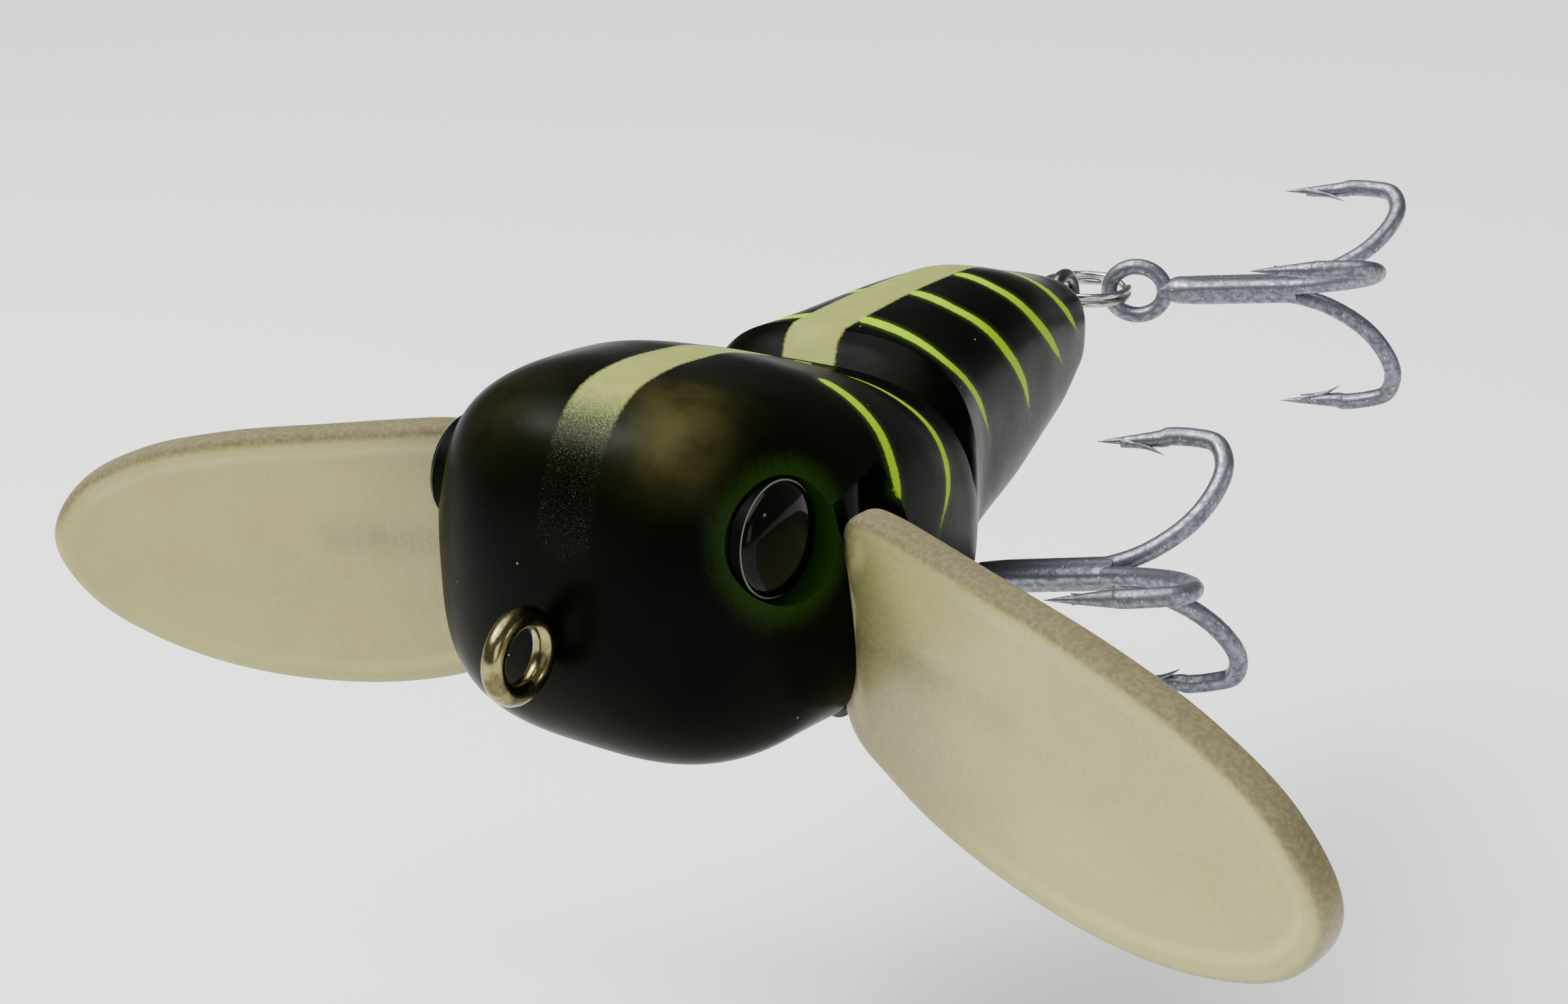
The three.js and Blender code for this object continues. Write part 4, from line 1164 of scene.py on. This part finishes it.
class LURE_OT_eyes(bpy.types.Operator):
    """Set a black cup and a clear dome in each socket"""

    bl_idname = "lure.eyes"
    bl_label = "Eyes"

    def execute(self, context):
        resin, gloss = clear_resin(), iris_gloss()
        floor, lip = GAP + IRIS_THICKNESS, 2 * GAP + IRIS_THICKNESS + LENS_RIM
        inner = EYE_RADIUS - 0.18
        turn = np.linspace(0, math.pi / 2, 22)
        dome = [(0, floor - 0.03), (inner + 0.02, floor - 0.03), (inner + 0.02, lip - 0.05)]
        dome += [(inner * math.cos(a), lip + LENS_DOME * math.sin(a)) for a in turn[:-1]]
        dome.append((0, lip + LENS_DOME))
        cup = [(0, GAP), (EYE_RADIUS - 0.1, GAP), (EYE_RADIUS, GAP + 0.1), (EYE_RADIUS, lip - 0.04)]
        cup += [(EYE_RADIUS - 0.04, lip), (inner + 0.03, lip), (inner, lip - 0.03)]
        cup += [(r, floor) for r in (inner, 4.4, 3.6, 2.4, 1.2, 0)]
        for side, word in ((1, "left"), (-1, "right")):
            place = eye_place(side)
            lens = mesh_object(f"{word}_eye_dome", *moved(lathe(dome, 96), place), crease=50)
            place_piece(lens, "body", "clear_lens", resin, f"{word}_eye_lens")
            points, faces = lathe(cup, 96)
            iris = mesh_object(f"{word}_eye_cup", *moved((points, faces), place))
            point_values(iris, "lip", points[:, 1] - lip)
            place_piece(iris, "body", "iris_black", gloss, f"{word}_eye_iris")
        return {"FINISHED"}


class LURE_OT_wings(bpy.types.Operator):
    """Hang a moulded wing on each side"""

    bl_idname = "lure.wings"
    bl_label = "Wings"

    def execute(self, context):
        plastic = wing_plastic(context.scene.lure_wing)
        points, faces = wing_piece()
        rim = smooth_path(np.array(BLADE_RIM) * [WING_LENGTH, WING_HALF_HEIGHT], 400, closed=True)
        rim[:, 0] += HINGE_TO_ROOT
        inward = distance_to_line(points[:, :2], rim)[0]
        from_edge = RIM_RADIUS + np.where(inside_outline(points[:, :2], rim), inward, -inward)
        # A painted shadow streak out from the root, on the front face only.
        streak, share = distance_to_line(points[:, :2], np.linspace((3.0, 1.8), (22.0, 2.6), 60))
        root_shadow_streak = np.exp(-((streak / (1.2 + 1.2 * share)) ** 2)) * np.where(points[:, 2] > 0, 1, 0)
        # The rim's upper edge, which the material darkens as painted shade, roughens and takes the coat
        # off.
        upper_edge = (1 - smoothstep(from_edge, 0.5, 1.3)) * smoothstep(points[:, 1], 0.0, 6.0)
        for side, word in ((1, "left"), (-1, "right")):
            wing = mesh_object(f"{word}_blade", *moved((points, faces), wing_place(side)))
            point_values(wing, "outward", points[:, 0])
            point_values(wing, "root_shadow_streak", root_shadow_streak)
            point_values(wing, "rim", from_edge)
            point_values(wing, "upper_edge", upper_edge)
            place_piece(wing, f"{word}_wing", "wing_plastic", plastic, f"{word}_wing")
        return {"FINISHED"}


class LURE_OT_hangers(bpy.types.Operator):
    """Bend the line tie and the two hook hangers"""

    bl_idname = "lure.hangers"
    bl_label = "Line tie and hangers"

    def execute(self, context):
        brass = wire_metal("brass_wire", (0.25, 0.225, 0.10, 1), (0.075, 0.068, 0.03, 1), 0.13)
        nickel = wire_metal("dark_nickel", (0.26, 0.25, 0.23, 1), (0.08, 0.08, 0.075, 1), 0.16)
        tie = mesh_object("line_tie_wire", *hanger_piece(NOSE_RING_RADIUS, NOSE_WIRE))
        place_piece(tie, "body", "brass_wire", brass, "nose_line_tie")
        belly, tail = hanger_places()
        wire = hanger_piece(HANGER_RING_RADIUS, HANGER_WIRE)
        upward = belly @ Matrix.Rotation(math.pi / 2, 4, "X")
        belly_eye = mesh_object("belly_hanger_wire", *moved(wire, upward))
        place_piece(belly_eye, "body", "hanger_wire", nickel, "belly_hook_hanger")
        forward = tail @ Matrix.Rotation(math.pi, 4, "X")
        tail_eye = mesh_object("tail_hanger_wire", *moved(wire, forward))
        place_piece(tail_eye, "body", "hanger_wire", nickel, "tail_hook_hanger")
        return {"FINISHED"}


class LURE_OT_split_rings(bpy.types.Operator):
    """Wind the two split rings"""

    bl_idname = "lure.split_rings"
    bl_label = "Split rings"

    def execute(self, context):
        nickel = wire_metal("ring_nickel", (0.5, 0.5, 0.49, 1), (0.2, 0.2, 0.2, 1), 0.14)
        for word, hanger, lie in zip(("belly", "tail"), hanger_places(), (BELLY_HOOK, TAIL_HOOK)):
            place = hook_chain(hanger, lie)[0]
            ring = mesh_object(f"{word}_ring_wire", *moved(split_ring_piece(), place))
            place_piece(ring, f"{word}_ring", "ring_wire", nickel, f"{word}_split_ring")
        return {"FINISHED"}


class LURE_OT_trebles(bpy.types.Operator):
    """Forge the two treble hooks"""

    bl_idname = "lure.trebles"
    bl_label = "Treble hooks"

    def execute(self, context):
        plating = hook_plating(context.scene.lure_hardware)
        for word, hanger, lie in zip(("belly", "tail"), hanger_places(), (BELLY_HOOK, TAIL_HOOK)):
            place = hook_chain(hanger, lie)[1]
            hook = mesh_object(f"{word}_hook_steel", *moved(treble_piece(lie["roll"]), place), crease=60)
            place_piece(hook, f"{word}_hook", "hook_steel", plating, f"{word}_treble")
        return {"FINISHED"}


class LURE_OT_inside(bpy.types.Operator):
    """Finish the pins, plugs and ballast"""

    bl_idname = "lure.inside"
    bl_label = "Pins, plugs and ballast"

    def execute(self, context):
        pin = plain_finish("ground_pin", (0.6, 0.6, 0.6, 1), (0.4, 0.4, 0.4, 1), 0.25, 1.0)
        lead = plain_finish("cast_lead", (0.2, 0.21, 0.23, 1), (0.09, 0.09, 0.1, 1), 0.6, 1.0)
        filler = plain_finish("painted_filler", (0.014, 0.015, 0.01, 1), (0.008, 0.009, 0.006, 1), 0.45)
        nodes = frame["nodes"]
        for word in ("left", "right"):
            set_material(nodes[f"{word}_wing_pin"], pin)
            set_material(nodes[f"{word}_pin_plug"], filler)
        set_material(nodes["belly_ballast"], lead)
        return {"FINISHED"}


def aimed_light(name, place, aim, size, power, color):
    light = bpy.data.lights.new(name, "AREA")
    light.shape = "RECTANGLE"
    light.size, light.size_y = size
    light.energy = power
    light.color = color
    obj = bpy.data.objects.new(name, light)
    obj.location = place
    obj.rotation_euler = (Vector(aim) - Vector(place)).to_track_quat("-Z", "Y").to_euler()
    bpy.context.scene.collection.objects.link(obj)


class LURE_OT_stage(bpy.types.Operator):
    """Lay the floor and set the lights and the camera"""

    bl_idname = "lure.stage"
    bl_label = "Stage"

    def execute(self, context):
        stage = context.scene.lure_stage
        aim = Vector(AIM_POINT) * MM
        floor_z = CAD_BOX[0][2] - HOOK_DROP * MM
        square = ((-1, -1), (1, -1), (1, 1), (-1, 1))
        corners = [(x * FLOOR_HALF, y * FLOOR_HALF, floor_z / MM) for x, y in square]
        floor = mesh_object("floor", corners, [(0, 1, 2, 3)])
        material, n, shader = new_material("pale_floor", Roughness=0.75)
        paper = n.mix(n.noise(6.0), (0.92, 0.92, 0.92, 1), (0.95, 0.95, 0.95, 1))
        n.join(paper, shader.inputs["Base Color"])
        set_material(floor, material)

        world = bpy.data.worlds.new("studio")
        world.use_nodes = True
        background = world.node_tree.nodes["Background"]
        background.inputs["Color"].default_value = (1.0, 1.0, 1.0, 1)
        background.inputs["Strength"].default_value = stage.sky
        context.scene.world = world
        sun = bpy.data.lights.new("soft_sun", "SUN")
        sun.energy = stage.sun
        sun.angle = math.radians(60)
        overhead = bpy.data.objects.new("soft_sun", sun)
        overhead.rotation_euler = Vector((0.35, 0.25, -1)).to_track_quat("-Z", "Y").to_euler()
        context.scene.collection.objects.link(overhead)
        aimed_light("key_light", (-0.3, -0.2, 0.45), aim, (0.2, 0.2), stage.key_power, (1, 0.97, 0.9))
        aimed_light("window", (0.49, 0.11, 0.14), aim, (0.035, 0.02), 0.3, (1, 1, 1))
        aimed_light("fill_light", (0.45, -0.4, 0.2), aim, (0.3, 0.3), stage.fill_power, (0.95, 0.98, 1))

        camera = bpy.data.cameras.new("camera")
        camera.sensor_width = 36
        camera.lens = LENS_LENGTH
        camera.clip_start = 0.005
        camera.clip_end = 20
        azimuth, elevation = stage.azimuth, stage.elevation
        back = Vector((
            math.sin(azimuth) * math.cos(elevation),
            -math.cos(azimuth) * math.cos(elevation),
            math.sin(elevation),
        ))
        right = Vector((0, 0, 1)).cross(back).normalized()
        roll = Matrix.Rotation(math.radians(CAMERA_ROLL), 3, "Z")
        turn = Matrix((right, back.cross(right), back)).transposed() @ roll
        obj = bpy.data.objects.new("camera", camera)
        obj.matrix_world = Matrix.Translation(aim + back * stage.distance) @ turn.to_4x4()
        context.scene.collection.objects.link(obj)
        context.scene.camera = obj
        return {"FINISHED"}


class LURE_PT_panel(bpy.types.Panel):
    """Lists the lure's pieces and settings"""

    bl_idname = "LURE_PT_panel"
    bl_label = "Winged surface lure"
    bl_space_type = "VIEW_3D"
    bl_region_type = "UI"
    bl_category = "Lure"

    def draw(self, context):
        for settings in (
            context.scene.lure_paint,
            context.scene.lure_wing,
            context.scene.lure_hardware,
            context.scene.lure_stage,
        ):
            for name in settings.__annotations__:
                self.layout.prop(settings, name)
        for operator in OPERATORS:
            self.layout.operator(operator.bl_idname)


SETTINGS = {
    "lure_paint": LurePaintSettings,
    "lure_wing": LureWingSettings,
    "lure_hardware": LureHardwareSettings,
    "lure_stage": LureStageSettings,
}
OPERATORS = (
    LURE_OT_body,
    LURE_OT_eyes,
    LURE_OT_wings,
    LURE_OT_hangers,
    LURE_OT_split_rings,
    LURE_OT_trebles,
    LURE_OT_inside,
    LURE_OT_stage,
)


def register():
    for group in SETTINGS.values():
        bpy.utils.register_class(group)
    for operator in OPERATORS:
        bpy.utils.register_class(operator)
    bpy.utils.register_class(LURE_PT_panel)
    for name, group in SETTINGS.items():
        setattr(bpy.types.Scene, name, PointerProperty(type=group))


def unregister():
    for name in SETTINGS:
        delattr(bpy.types.Scene, name)
    bpy.utils.unregister_class(LURE_PT_panel)
    for operator in reversed(OPERATORS):
        bpy.utils.unregister_class(operator)
    for group in reversed(SETTINGS.values()):
        bpy.utils.unregister_class(group)


def main():
    register()
    build_effect_groups()
    bpy.ops.lure.body()
    bpy.ops.lure.eyes()
    bpy.ops.lure.wings()
    bpy.ops.lure.hangers()
    bpy.ops.lure.split_rings()
    bpy.ops.lure.trebles()
    bpy.ops.lure.inside()
    bpy.ops.lure.stage()


if __name__ == "__main__":
    main()
